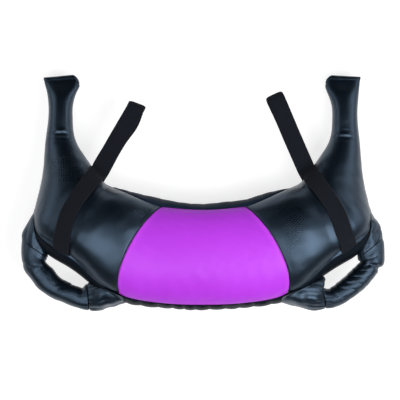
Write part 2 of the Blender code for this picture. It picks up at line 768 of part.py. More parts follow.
def tab(name, envelope, route, first_way):
    """A tapered anchor of cover between a handle end and the gusset. The route gives the
    middle, the half width and the half height of each section."""
    middles, half_widths, half_heights = zip(*route)
    ways = np.gradient(np.array(middles), axis=0)
    ways[0] = first_way
    rings = oval_rings(middles, ways, half_widths, half_heights)
    made = solid_of_rings(name, rings, "black_leatherette")
    cut = made.modifiers.new("cut_by_shell", "BOOLEAN")
    cut.operation = "DIFFERENCE"
    cut.object = envelope
    return made


def tab_route(side, end_point, end_way, sections):
    """Sections from the handle's end to where the tab runs out along the shell's edge."""
    route = [(end_point + end_way * PIECE_GAP, HANDLE_END_RADIUS, HANDLE_END_RADIUS)]
    for station, standoff, width, height in sections:
        at = station if side == "left" else LAST_STATION - station
        edge, inside = outer_edge(at), shell_points(at, 0.0)
        away = unit((edge - inside) * np.array([1, 1, 0]))
        middle = edge + away * standoff * HANDLE_END_RADIUS
        middle[2] = HANDLE_HEIGHT
        route.append((middle, width * HANDLE_END_RADIUS, height * HANDLE_END_RADIUS))
    return route


def handle_tabs(side, envelope):
    points, ways, _ = handle_line(side)
    upper = tab_route(side, points[0], -ways[0], UPPER_TAB_SHARES)
    lower = tab_route(side, points[-1], ways[-1], LOWER_TAB_SHARES)
    tab(f"handle_tab_upper_{side}", envelope, upper, -ways[0])
    tab(f"handle_tab_lower_{side}", envelope, lower, ways[-1])
    print(f"handle {side}: ends {np.round(points[0], 4)} and {np.round(points[-1], 4)}")


def build():
    clear_scene()
    surface = shell_surface()
    envelope = shell_envelope()
    face_panels(True, "purple_leatherette")
    face_panels(False, "black_leatherette")
    gusset("inner_gusset", 0, inner_half_width, INNER_GUSSET_START)
    gusset("outer_gusset", 1, outer_half_width, OUTER_GUSSET_START)
    for front in (True, False):
        padding(front)
    sand_sleeves()
    for side in ("left", "right"):
        horn(side)
        front_end = strap_run(surface, side, True)
        strap_run(surface, side, False)
        webbing_loop(side, front_end)
        handle(side)
        handle_tabs(side, envelope)


build()
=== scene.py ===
"""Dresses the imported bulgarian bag: stuffed leatherette covers with rolled seams, gathered side
handles, webbing with its free loops, and the filling inside. It is laid out as an add-on and run
as a script. Lengths are in metres, in the frame of the CAD model: +X to the right horn, +Y from
the belly to the horn tips, +Z out of the front."""

import json
import math

import bmesh
import bpy
import numpy as np
from bpy.props import FloatProperty, FloatVectorProperty, IntProperty, PointerProperty
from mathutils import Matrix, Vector
from mathutils.bvhtree import BVHTree


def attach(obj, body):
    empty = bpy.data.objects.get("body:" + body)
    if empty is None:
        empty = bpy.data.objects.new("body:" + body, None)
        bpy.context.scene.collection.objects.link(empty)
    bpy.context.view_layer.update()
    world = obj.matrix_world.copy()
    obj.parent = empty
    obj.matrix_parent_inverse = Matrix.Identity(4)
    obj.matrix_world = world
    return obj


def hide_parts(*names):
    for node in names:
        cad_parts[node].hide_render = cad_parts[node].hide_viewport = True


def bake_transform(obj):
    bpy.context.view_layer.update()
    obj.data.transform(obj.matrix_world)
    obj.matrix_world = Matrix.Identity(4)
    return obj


bl_info = {
    "name": "Bulgarian bag",
    "version": (1, 0, 0),
    "blender": (4, 5, 0),
    "location": "3D View > Sidebar > Bulgarian bag",
    "description": "Builds the covers, handles, webbing and filling of a bulgarian bag",
    "category": "Add Mesh",
}

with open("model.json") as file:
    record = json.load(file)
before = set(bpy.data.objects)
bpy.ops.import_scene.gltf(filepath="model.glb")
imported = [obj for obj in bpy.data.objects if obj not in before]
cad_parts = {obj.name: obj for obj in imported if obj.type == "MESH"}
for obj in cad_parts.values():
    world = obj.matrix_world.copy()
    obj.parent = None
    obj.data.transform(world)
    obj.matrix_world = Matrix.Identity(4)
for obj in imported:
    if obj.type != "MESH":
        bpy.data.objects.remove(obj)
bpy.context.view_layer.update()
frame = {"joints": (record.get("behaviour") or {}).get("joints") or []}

MM = 0.001
SIDES = ("left", "right")

# Stations along the bag, one for each profile row: 0 is the left horn tip, 18 the middle of
# the belly and 36 the right horn tip
MIDDLE_STATION = 18
LAST_STATION = 2 * MIDDLE_STATION
BEND_STATION = 5.24  # middle of the stretch where a horn bends
BELLY_START, BELLY_FULL = 9, 12  # stations over which a horn turns into the belly

# Steps to either side of a place, along the bag and round it, that give the surface's ways there
NEAR_STATION = 0.05
NEAR_TURN = 0.02

# Creases across each horn: places past the bend, depths and how far across they reach
CREASES = {
    "left": ((-0.3, 0.1, 0.4), (0.0, 1.25, 0.85), (0.34, 0.8, 0.75), (0.7, 0.3, 0.6)),
    "right": (
        (-0.85, 0.12, 0.4),
        (-0.55, 0.16, 0.45),
        (-0.2, 0.3, 0.5),
        (0.28, 1.0, 0.85),
        (0.72, 0.3, 0.6),
    ),
}

# Stations from a horn tip where pieces start, end or meet
HORN_FILLING_START = 1.0
SIDE_FILLING_END = 8.7
SAND_JOINT = 13.9
CENTRE_SEAM = {"left": 15.2, "right": 15.12}
OUTER_GUSSET_START = 9.3
INNER_GUSSET_START, INNER_GUSSET_FULL = 11.8, 15.4

# How far the seams beside the centre panel bulge towards the horns in the middle of a face, and
# lean from its inner to its outer edge, in stations
CENTRE_SEAM_BULGE = 0.55
CENTRE_SEAM_LEAN = 0.21

GUSSET_TIP_REACH = 0.5  # stations before a gusset's start in which the faces part for its point
GUSSET_TIP_START = 0.94 * GUSSET_TIP_REACH  # stations before its start where the point begins
TUCKED_TIP = 2.5 * MM  # how far a gusset's pointed end is drawn in between its neighbours

# One row per station from a horn tip to the middle of the belly: spine x, spine y, section
# angle in degrees, then shares of the width, thickness and underside heights
HORN_END_ROW_SHARES = [
    # x, y, angle, width, thickness, lift
    (0.990, 1.000, 0.8, 1.00, 1.00, 1.00),
    (0.988, 0.962, 0.0, 0.93, 3.50, 0.72),
]
HORN_ROW_SHARES = [
    (0.990, 0.912, 0.0, 1.14, 0.82, 0.58),
    (0.995, 0.845, 0.0, 1.00, 0.97, 0.53),
    (0.996, 0.773, 0.0, 1.00, 1.02, 0.57),
    (0.999, 0.703, 2.0, 1.09, 1.05, 0.61),
    (0.996, 0.633, 3.6, 1.28, 1.18, 0.64),
]
BELLY_ROW_SHARES = [
    # x, y, angle, width, thickness, lift, settle
    (0.980, 0.558, 10.1, 0.374, 0.42, 0.60, 0.0),
    (0.965, 0.475, 19.3, 0.482, 0.55, 0.46, 0.0),
    (0.962, 0.392, 27.3, 0.634, 0.68, 0.34, 0.0),
    (0.958, 0.318, 32.6, 0.774, 0.79, 0.25, 0.0),
    (0.925, 0.251, 39.9, 0.856, 0.87, 0.19, 0.0),
    (0.844, 0.196, 48.4, 0.891, 0.925, 0.16, 0.0),
    (0.728, 0.153, 55.8, 0.902, 0.96, 0.10, 0.0),
    (0.601, 0.094, 62.5, 0.976, 0.98, 0.02, 0.2),
    (0.457, 0.041, 69.3, 1.035, 0.99, 0.0, 0.7),
    (0.289, 0.015, 76.7, 1.022, 1.00, 0.0, 1.0),
    (0.141, 0.003, 84.1, 1.007, 1.00, 0.0, 1.0),
    (0.000, 0.000, 90.0, 1.000, 1.00, 0.0, 1.0),
]

# Middle lines of the sewn straps over a face, from the outer seam to the inner edge: station
# from the horn tip, and degrees round the section from the inner edge
STRAP_ROUTES = {
    "left": [
        (12.46, 153),
        (12.22, 141),
        (12.07, 132),
        (11.72, 114),
        (11.35, 100),
        (10.73, 83.5),
        (10.27, 64.5),
        (9.8, 44.2),
        (9.42, 18),
        (9.25, 4),
    ],
    "right": [
        (12.24, 158),
        (12.0, 146.5),
        (11.89, 136.2),
        (11.65, 118.5),
        (11.38, 103.8),
        (10.7, 84),
        (10.2, 65),
        (9.72, 44.2),
        (9.24, 18),
        (9.03, 4),
    ],
}

# Where the seam between a face and the outer gusset runs: stations from the horn tip, and
# half the gusset's width there as a share of its half width in the middle of the belly
OUTER_SEAM_ROUTE = [
    (9.3, 0.05),
    (9.72, 0.26),
    (10.36, 0.71),
    (11.0, 1.03),
    (11.64, 1.28),
    (12.1, 1.33),
    (12.6, 1.3),
    (13.19, 1.2),
    (13.74, 1.08),
    (14.3, 1.0),
    (15.2, 1.0),
    (18.0, 1.0),
]

# Rows across a side handle and its two tabs, from the tip of the upper tab to the tip of the
# lower one, in millimetres: the outer border and the inner border, each as a distance out from
# the middle of the bag and a height above the belly's middle line, then half the thickness
HANDLE_ROWS = {
    "left": [
        (284.9, 71.9, 270.1, 68.5, 15),
        (293.3, 59.2, 268.0, 46.6, 22),
        (300.8, 44.1, 264.0, 24.0, 22),
        (304.5, 28.9, 260.3, -1.6, 18.5),
        (305.5, 11.3, 263.2, -8.0, 18),
        (302.9, -12.3, 255.8, -17.8, 19),
        (292.0, -35.0, 246.6, -27.4, 19.5),
        (275.2, -54.9, 234.8, -37.0, 19.5),
        (254.1, -68.7, 223.8, -44.4, 19.5),
        (231.4, -79.1, 212.9, -50.0, 19),
        (211.2, -86.0, 201.4, -52.6, 18.5),
        (190.5, -90.7, 194.5, -45.0, 20),
        (175.9, -90.7, 177.0, -36.0, 28),
        (160.7, -87.3, 159.0, -32.0, 35),
        (131.0, -77.5, 131.0, -46.0, 33),
    ],
    "right": [
        (284.9, 71.9, 270.1, 68.5, 15),
        (292.8, 60.9, 268.0, 46.6, 22),
        (299.6, 46.6, 264.0, 24.0, 22),
        (303.3, 31.5, 261.0, -2.6, 19),
        (305.6, 13.0, 265.0, -8.2, 18.5),
        (305.3, -10.4, 257.2, -16.5, 19.5),
        (292.6, -29.5, 249.5, -23.0, 20.5),
        (278.9, -46.4, 241.0, -31.5, 20.5),
        (265.1, -60.6, 232.5, -39.0, 20),
        (246.6, -73.2, 222.5, -46.4, 19.5),
        (228.0, -82.6, 209.8, -53.0, 19),
        (207.0, -88.0, 202.4, -46.5, 20),
        (189.3, -90.4, 203.0, -33.0, 26),
        (165.8, -86.3, 163.0, -32.0, 35),
        (131.0, -76.5, 131.0, -46.0, 33),
    ],
}
UPPER_SEAM_ROW = 3
LOWER_SEAM_ROW = 11
SEAM_ROW_GAP = 0.015  # rows between a seam and the edge of the cover on either side of it

UPPER_SEAM_SUNK = 0.12  # how far the upper seam is sunk, as a share of the lower one

# How each handle is gathered: the seed of its unevenness, its gathers' spacing and depth as
# shares of the set ones and their strength above the ring, and the depth of its pleats, as a
# share of the set one, beside the ring and at the lower seam
HANDLE_GATHERS = {
    "left": {"seed": 51, "pitch": 2.6, "depth": 0.5, "above": 0.0, "ring": 0.15, "end": 0.35},
    "right": {"seed": 67, "pitch": 1.2, "depth": 0.62, "above": 0.75, "ring": 0.5, "end": 0.8},
}

# Each tab's pleats, as a share of the set depth and a count, and how far its seam is sunk
TAB_PLEATS = {"upper": (0.35, 9, UPPER_SEAM_SUNK), "lower": (1.0, 17, 1.0)}

# Seeds of the unevenness of the side covers and of the tabs
SIDE_COVER_SEED = {"left": 3, "right": 8}
TAB_SEED = {"left": {"upper": 93, "lower": 81}, "right": {"upper": 81, "lower": 93}}

# A tight ring of gathers below each upper tab: its row at the outer and at the inner border,
# and its depth at the two
GATHER_RING = {"left": (5.0, 4.9, 0.9 * MM, 0.2 * MM), "right": (5.55, 4.3, 4.6 * MM, 0.5 * MM)}

# How the sewn end of each horn slants: the rise of its edge over its width, and the depth by
# which its inner corner is cut off
TIP_SLANT = {"left": (0.085, 11 * MM), "right": (0.045, 9 * MM)}

# How much fuller a horn is towards its end, as amount, station and reach: at its outer edge
# and at its inner edge
HORN_FULLNESS = {
    "left": ((2.5 * MM, 0.5, 1.2), (3.6 * MM, 1.0, 0.9)),
    "right": ((2.4 * MM, 2.4, 2.4), (4.2 * MM, 1.3, 1.2)),
}

# Degrees: how each loop leans towards the middle, and turns about its own length at its tip
LOOP_LEAN = {"left": 29.4, "right": 23.6}
LOOP_TWIST = {"left": 9.0, "right": 4.0}

# How far each loop's fold lies from the middle of its joint, outward and up, and its length
LOOP_FOLD_SHIFT = {"left": (3.6 * MM, 0), "right": (5.0 * MM, 2.2 * MM)}
LOOP_FOLD_LENGTH = 34.5 * MM

# How much shorter a loop's tip is at its left and at its right edge, and how far its lower ply
# slips out beyond the right edge
LOOP_TIP_SLANT = {"left": (8.5 * MM, 3.5 * MM), "right": (-1 * MM, -2 * MM)}
LOOP_CORNER = 2.4 * MM  # how far the corners of a loop's tip are rounded off
LOOP_SLIP = {"left": 5 * MM, "right": 0.8 * MM}
LOOP_SQUARED_AT = 1 / 3  # share of its length at which a loop's cross lines stand square to it
STRAP_SMOOTHING = 150  # times that a strap's route is smoothed
STRAP_EDGE_SHARE = 0.29  # last share of a strap's length, where it turns to lie along the edge

THREAD_RADIUS = 0.38 * MM
STITCHED_COLUMNS = (2, -3)  # lines of the webbing's grid, near its two edges, that are sewn down

# Where each lamp stands, as tilts in degrees away from straight above, to the right and to the
# top of the picture; then its share of the power, its width and its height
LAMPS = {
    "main_lamp_left": (-19, -19, 1.0, 0.7, 0.75),
    "main_lamp_right": (28, -19, 2.0, 0.95, 0.9),
    "side_lamp_left": (-62, 34, 1.1, 1.4, 0.7),
    "side_lamp_right": (62, 34, 1.45, 1.4, 0.7),
}

WEAVE_GLOSS = 0.046  # roughness by which a weave makes the gloss sharper and duller by turns

# Tints of a cloth's gloss, as red, green, blue and a full alpha
BLUE_GLOSS = (0.47, 0.7, 1.0, 1.0)
PLAIN_GLOSS = (1.0, 1.0, 1.0, 1.0)

FLOOR_SIZE = 12.0
FLOOR_DROP = 0.3 * MM  # how far the floor lies below the bag, so that the two never meet

# Where a grid line runs into a seam: distances from the seam, as shares of the rolled edge
ROLL_STEPS = np.array([0.0, 0.06, 0.18, 0.36, 0.6, 0.95, 1.5])


# Sizes and colours


class BagShape(bpy.types.PropertyGroup):
    """Sizes of the stuffed bag, the same as in the CAD model"""

    spine_half_span: FloatProperty(
        name="Half span", default=239 * MM, unit="LENGTH",
        description="Middle of the belly to the middle line of a horn",
    )
    spine_rise: FloatProperty(
        name="Rise", default=302 * MM, unit="LENGTH",
        description="Middle line of the belly to the tip of a horn",
    )
    belly_width: FloatProperty(
        name="Belly width", default=179 * MM, unit="LENGTH",
        description="Across the belly, edge to edge, as it lies",
    )
    belly_thickness: FloatProperty(
        name="Belly thickness", default=142 * MM, unit="LENGTH",
        description="Thickness of the stuffed belly",
    )
    belly_settle: FloatProperty(
        name="Settling", default=5 * MM, unit="LENGTH",
        description="How far the underside is pressed flat by lying on it",
    )
    underside_lift: FloatProperty(
        name="Horn lift", default=27 * MM, unit="LENGTH",
        description="Underside of a horn tip above the ground",
    )
    horn_width: FloatProperty(
        name="Horn width", default=42 * MM, unit="LENGTH",
        description="Width of the horn grip",
    )
    horn_thickness: FloatProperty(
        name="Horn thickness", default=41 * MM, unit="LENGTH",
        description="Thickness of the horn grip",
    )
    horn_end_width: FloatProperty(
        name="Horn end width", default=58 * MM, unit="LENGTH",
        description="Width of the horn where it is pressed flat and sewn shut",
    )
    horn_end_thickness: FloatProperty(
        name="Horn end thickness", default=6 * MM, unit="LENGTH",
        description="Thickness of the horn where it is sewn shut",
    )
    section_power: FloatProperty(
        name="Squareness", default=2.15,
        description="Power of the section's outline: 2 is an ellipse, more is squarer",
    )
    gusset_width: FloatProperty(
        name="Gusset width", default=62 * MM, unit="LENGTH",
        description="Full width of the band between the front and the back",
    )
    gusset_tip_width: FloatProperty(
        name="Gusset tip width", default=3 * MM, unit="LENGTH",
        description="Width of the gusset at its pointed end",
    )
    bend_length: FloatProperty(
        name="Bend length", default=19 * MM, unit="LENGTH",
        description="Soft stretch of a horn where it folds",
    )


class CoverDetail(bpy.types.PropertyGroup):
    """How the leatherette is sewn and how it lies over the filling"""

    wall: FloatProperty(
        name="Wall", default=1.2 * MM, unit="LENGTH",
        description="Thickness of the coated cloth",
    )
    seam_gap: FloatProperty(
        name="Seam gap", default=0.5 * MM, unit="LENGTH",
        description="Open line between two pieces along their seam",
    )
    seam_roll: FloatProperty(
        name="Seam roll", default=2.4 * MM, unit="LENGTH",
        description="Radius of a panel's edge where it turns into its seam",
    )
    seam_pull: FloatProperty(
        name="Seam pull", default=2.6 * MM, unit="LENGTH",
        description="How far a seam of the belly is drawn in below the crowned panels",
    )
    seam_pull_reach: FloatProperty(
        name="Seam pull reach", default=15 * MM, unit="LENGTH",
        description="Distance over which a panel crowns up from its seam",
    )
    cross_seam_pull: FloatProperty(
        name="Centre seam pull", default=3.3 * MM, unit="LENGTH",
        description="How far the seams beside the centre panel are drawn in",
    )
    cross_seam_reach: FloatProperty(
        name="Centre seam reach", default=24 * MM, unit="LENGTH",
        description="Distance over which a panel crowns up from the seams beside the centre",
    )
    strap_press: FloatProperty(
        name="Strap press", default=5 * MM, unit="LENGTH",
        description="Depth of the valley that a sewn strap pulls into the belly",
    )
    strap_press_reach: FloatProperty(
        name="Strap press reach", default=30 * MM, unit="LENGTH",
        description="Width of each side of a strap's valley",
    )
    allowance: FloatProperty(
        name="Seam allowance", default=5 * MM, unit="LENGTH",
        description="Cloth turned inside behind a seam",
    )
    pucker_pitch: FloatProperty(
        name="Pucker pitch", default=24 * MM, unit="LENGTH",
        description="Spacing of the puckers along the outer gusset",
    )
    pucker_depth: FloatProperty(
        name="Pucker depth", default=2.3 * MM, unit="LENGTH",
        description="Depth of the valleys between the outer gusset's puckers",
    )
    lump_depth: FloatProperty(
        name="Lumps", default=0.6 * MM, unit="LENGTH",
        description="Unevenness of the filling as it shows through the cover",
    )
    crease_depth: FloatProperty(
        name="Crease depth", default=1.7 * MM, unit="LENGTH",
        description="Depth of the creases where a horn folds",
    )
    dimple_depth: FloatProperty(
        name="Dimple depth", default=1.2 * MM, unit="LENGTH",
        description="Hollow in the front of a horn below its sewn end",
    )
    emboss_cell: FloatProperty(
        name="Emboss cell", default=2.8 * MM, unit="LENGTH",
        description="Size of one cell of the embossed weave",
    )


class WebbingShape(bpy.types.PropertyGroup):
    """The webbing that is sewn over each side and stands free as a loop"""

    width: FloatProperty(
        name="Width", default=30 * MM, unit="LENGTH",
        description="Width of the webbing",
    )
    thickness: FloatProperty(
        name="Thickness", default=1.6 * MM, unit="LENGTH",
        description="Thickness of the webbing",
    )
    gap: FloatProperty(
        name="Lift", default=0.5 * MM, unit="LENGTH",
        description="Webbing to the cover that it is sewn to",
    )
    loop_length: FloatProperty(
        name="Loop length", default=140 * MM, unit="LENGTH",
        description="Fold line at the bag to the tip of the loop",
    )
    loop_tip_radius: FloatProperty(
        name="Loop tip radius", default=10 * MM, unit="LENGTH",
        description="Radius of the webbing where it turns back at the tip",
    )
    loop_roll_radius: FloatProperty(
        name="Loop root radius", default=2.2 * MM, unit="LENGTH",
        description="Half the height of the doubled webbing where it leaves the bag",
    )
    rib_pitch: FloatProperty(
        name="Rib pitch", default=2.1 * MM, unit="LENGTH",
        description="Spacing of the woven ribs along the webbing",
    )
    stitch_pitch: FloatProperty(
        name="Stitch pitch", default=4.2 * MM, unit="LENGTH",
        description="Length from one stitch to the next",
    )


class HandleShape(bpy.types.PropertyGroup):
    """The padded side handles and the gathered tabs at their ends"""

    height: FloatProperty(
        name="Height", default=64 * MM, unit="LENGTH",
        description="Middle line of the handle above the ground",
    )
    fullness: FloatProperty(
        name="Fullness", default=1.0,
        description="Scale of the handle's thickness",
    )
    seam_roll: FloatProperty(
        name="Seam roll", default=1.8 * MM, unit="LENGTH",
        description="Radius of the cover's edge where a handle meets its tab",
    )
    gather_pitch: FloatProperty(
        name="Gather pitch", default=12.5 * MM, unit="LENGTH",
        description="Spacing of the gathers along the handle",
    )
    gather_depth: FloatProperty(
        name="Gather depth", default=1.9 * MM, unit="LENGTH",
        description="Depth of the gathers on the side of the hand hole",
    )
    pleat_count: IntProperty(
        name="Pleats", default=15,
        description="Pleats round each end of a handle, where it is gathered into its seam",
    )
    pleat_depth: FloatProperty(
        name="Pleat depth", default=1.5 * MM, unit="LENGTH",
        description="Depth of the pleats at the seam",
    )


class BagColours(bpy.types.PropertyGroup):
    """Colours of the cloths, the webbing, the filling and the floor"""

    black: FloatVectorProperty(
        name="Black leatherette", default=(0.0018, 0.0034, 0.0062), subtype="COLOR",
        description="Colour of the black coated cloth",
    )
    purple: FloatVectorProperty(
        name="Purple leatherette", default=(0.485, 0.048, 0.80), subtype="COLOR",
        description="Colour of the front centre panel",
    )
    # Painted sheen: the inner gusset's colour is the black made about five times lighter, in place
    # of the light that it catches at a grazing angle; its gloss is also duller
    gusset: FloatVectorProperty(
        name="Inner gusset", default=(0.008, 0.0165, 0.032), subtype="COLOR",
        description="Colour of the inner gusset, whose cloth is duller than the faces",
    )
    webbing: FloatVectorProperty(
        name="Webbing", default=(0.0043, 0.0058, 0.0098), subtype="COLOR",
        description="Colour of the woven webbing",
    )
    thread: FloatVectorProperty(
        name="Thread", default=(0.014, 0.016, 0.020), subtype="COLOR",
        description="Colour of the sewing thread",
    )
    wadding: FloatVectorProperty(
        name="Wadding", default=(0.55, 0.53, 0.48), subtype="COLOR",
        description="Colour of the textile filling",
    )
    sleeve: FloatVectorProperty(
        name="Sand sleeve", default=(0.42, 0.36, 0.26), subtype="COLOR",
        description="Colour of the cloth sleeves that hold the sand",
    )
    foam: FloatVectorProperty(
        name="Foam", default=(0.30, 0.31, 0.33), subtype="COLOR",
        description="Colour of the foam in the handles",
    )
    floor: FloatVectorProperty(
        name="Floor", default=(0.45, 0.45, 0.45), subtype="COLOR",
        description="Colour of the plain floor",
    )


class StudioSettings(bpy.types.PropertyGroup):
    """Camera and lamps"""

    camera_height: FloatProperty(
        name="Camera height", default=3.2, unit="LENGTH",
        description="Camera above the floor",
    )
    camera_lens: FloatProperty(
        name="Lens", default=167.7, unit="CAMERA",
        description="Focal length of the camera",
    )
    lamp_distance: FloatProperty(
        name="Lamp distance", default=1.5, unit="LENGTH",
        description="Each lamp to the point that the camera looks at",
    )
    main_power: FloatProperty(
        name="Main lamp power", default=7.8, unit="POWER",
        description="Power of a lamp above the bag",
    )
    side_power: FloatProperty(
        name="Side lamp power", default=4.5, unit="POWER",
        description="Power of a low lamp, which lights the outer side of a horn",
    )
    sky_low: FloatProperty(
        name="Light from the walls", default=0.08,
        description="Strength of the even light from the sides",
    )
    sky_high: FloatProperty(
        name="Light from above", default=0.0,
        description="Strength of the even light from straight above",
    )
    floor_glow: FloatProperty(
        name="Floor glow", default=0.75,
        description="Light that the floor adds to its colour, to show white",
    )


# Small sums


def unit(vectors):
    """Vectors of length 1, the same way as these."""
    vectors = np.asarray(vectors, float)
    return vectors / np.maximum(np.linalg.norm(vectors, axis=-1, keepdims=True), 1e-12)


def eased(share):
    """A share from 0 to 1 that leaves and arrives gently."""
    share = np.clip(share, 0, 1)
    return share * share * (3 - 2 * share)


def hill(distance, width):
    """1 at no distance, falling away smoothly over a width."""
    return np.exp(-((distance / width) ** 2))


def lengths_along(points, axis):
    """Length along each line of a grid of points, from its first point."""
    steps = np.linalg.norm(np.diff(points, axis=axis), axis=-1)
    total = np.cumsum(steps, axis=axis)
    return np.concatenate([np.zeros_like(np.take(total, [0], axis=axis)), total], axis=axis)


def at_lengths(wanted, length, values):
    """Values along a line, at wanted lengths along it."""
    return np.stack([np.interp(wanted, length, column) for column in values.T], axis=1)


def lumps(points, wavelength, seed):
    """A smooth uneven field of about unit size, the same for a point on every run."""
    waves = 7
    chance = np.random.default_rng(seed)
    ways = unit(chance.normal(size=(waves, 3)))
    turns = 2 * math.pi / (wavelength * chance.uniform(0.7, 1.4, waves))
    starts = chance.uniform(0, 2 * math.pi, waves)
    return np.cos(points @ (ways * turns[:, None]).T + starts).sum(-1) / math.sqrt(waves / 2)


def grid_normals(points, ring=False):
    """Unit normals of a grid of points, by the turn from its second direction to its first."""
    if ring:
        closed = np.concatenate([points[:, -2:-1], points, points[:, 1:2]], axis=1)
        across = np.gradient(closed, axis=1)[:, 1:-1]
    else:
        across = np.gradient(points, axis=1)
    return unit(np.cross(across, np.gradient(points, axis=0)))


def sewn_shares(lengths, cells, roll):
    """Shares of lines of these lengths, closer together where the ends roll into a seam."""
    *near, start = roll * ROLL_STEPS
    lengths = np.asarray(lengths, float)[..., None]
    between = lengths - start - start
    even = start + between * np.linspace(0, 1, cells + 1)
    before = np.broadcast_to(near, lengths.shape[:-1] + (len(near),))
    after = lengths - near[::-1]
    return np.concatenate([before, even, after], axis=-1) / lengths


def from_horn_tip(stations):
    """Stations from the tip of the nearer horn."""
    return np.minimum(stations, LAST_STATION - stations)


def on_side(side, stations):
    """Stations counted from one horn's tip, as stations of the bag, or the other way round."""
    return stations if side == "left" else LAST_STATION - stations


def face_name(front):
    return "front" if front else "back"


def joint_place(name):
    """Where a joint of the CAD model is."""
    return np.array(next(joint for joint in frame["joints"] if joint["name"] == name)["pos_m"])


# The stuffed shell


def profile_rows(shape):
    """Spine x, spine y, section angle, width, thickness and underside height, tip to tip."""
    rows = []
    for x, y, angle, width, thickness, lift in HORN_END_ROW_SHARES:
        size = (width * shape.horn_end_width, thickness * shape.horn_end_thickness)
        rows.append((x, y, angle, *size, lift, 0.0))
    for x, y, angle, width, thickness, lift in HORN_ROW_SHARES:
        size = (width * shape.horn_width, thickness * shape.horn_thickness)
        rows.append((x, y, angle, *size, lift, 0.0))
    for x, y, angle, width, thickness, lift, settle in BELLY_ROW_SHARES:
        size = (width * shape.belly_width, thickness * shape.belly_thickness)
        rows.append((x, y, angle, *size, lift, settle))
    x, y, angle, width, thickness, lift, settle = np.array(rows).T
    left = np.stack(
        [
            -x * shape.spine_half_span,
            y * shape.spine_rise,
            np.radians(angle),
            width,
            thickness,
            lift * shape.underside_lift - settle * shape.belly_settle,
        ],
        axis=1,
    )
    right = left[-2::-1].copy()
    right[:, 0] *= -1
    right[:, 2] = math.pi - right[:, 2]
    return np.concatenate([left, right])


def spline_bends(rows):
    """Second derivatives of a natural cubic spline through rows one step apart."""
    count = len(rows)
    matrix = np.eye(count) * 4 + np.eye(count, k=1) + np.eye(count, k=-1)
    matrix[0], matrix[-1] = np.eye(count)[0], np.eye(count)[-1]
    turn = np.zeros_like(rows)
    turn[1:-1] = 6 * (rows[2:] - 2 * rows[1:-1] + rows[:-2])
    return np.linalg.solve(matrix, turn)


def spline_rows(table, bends, at):
    """Rows of a table at places between them, along its natural cubic spline."""
    i = np.clip(at.astype(int), 0, len(table) - 2)
    t = (at - i)[..., None]
    s = 1 - t
    level = s * table[i] + t * table[i + 1]
    return level + ((s**3 - s) * bends[i] + (t**3 - t) * bends[i + 1]) / 6


def through_rows(table, count, first=0, last=None):
    """A smooth line of rows through a short table of rows, from one of them to another."""
    last = len(table) - 1 if last is None else last
    return spline_rows(table, spline_bends(table), np.linspace(first, last, count))


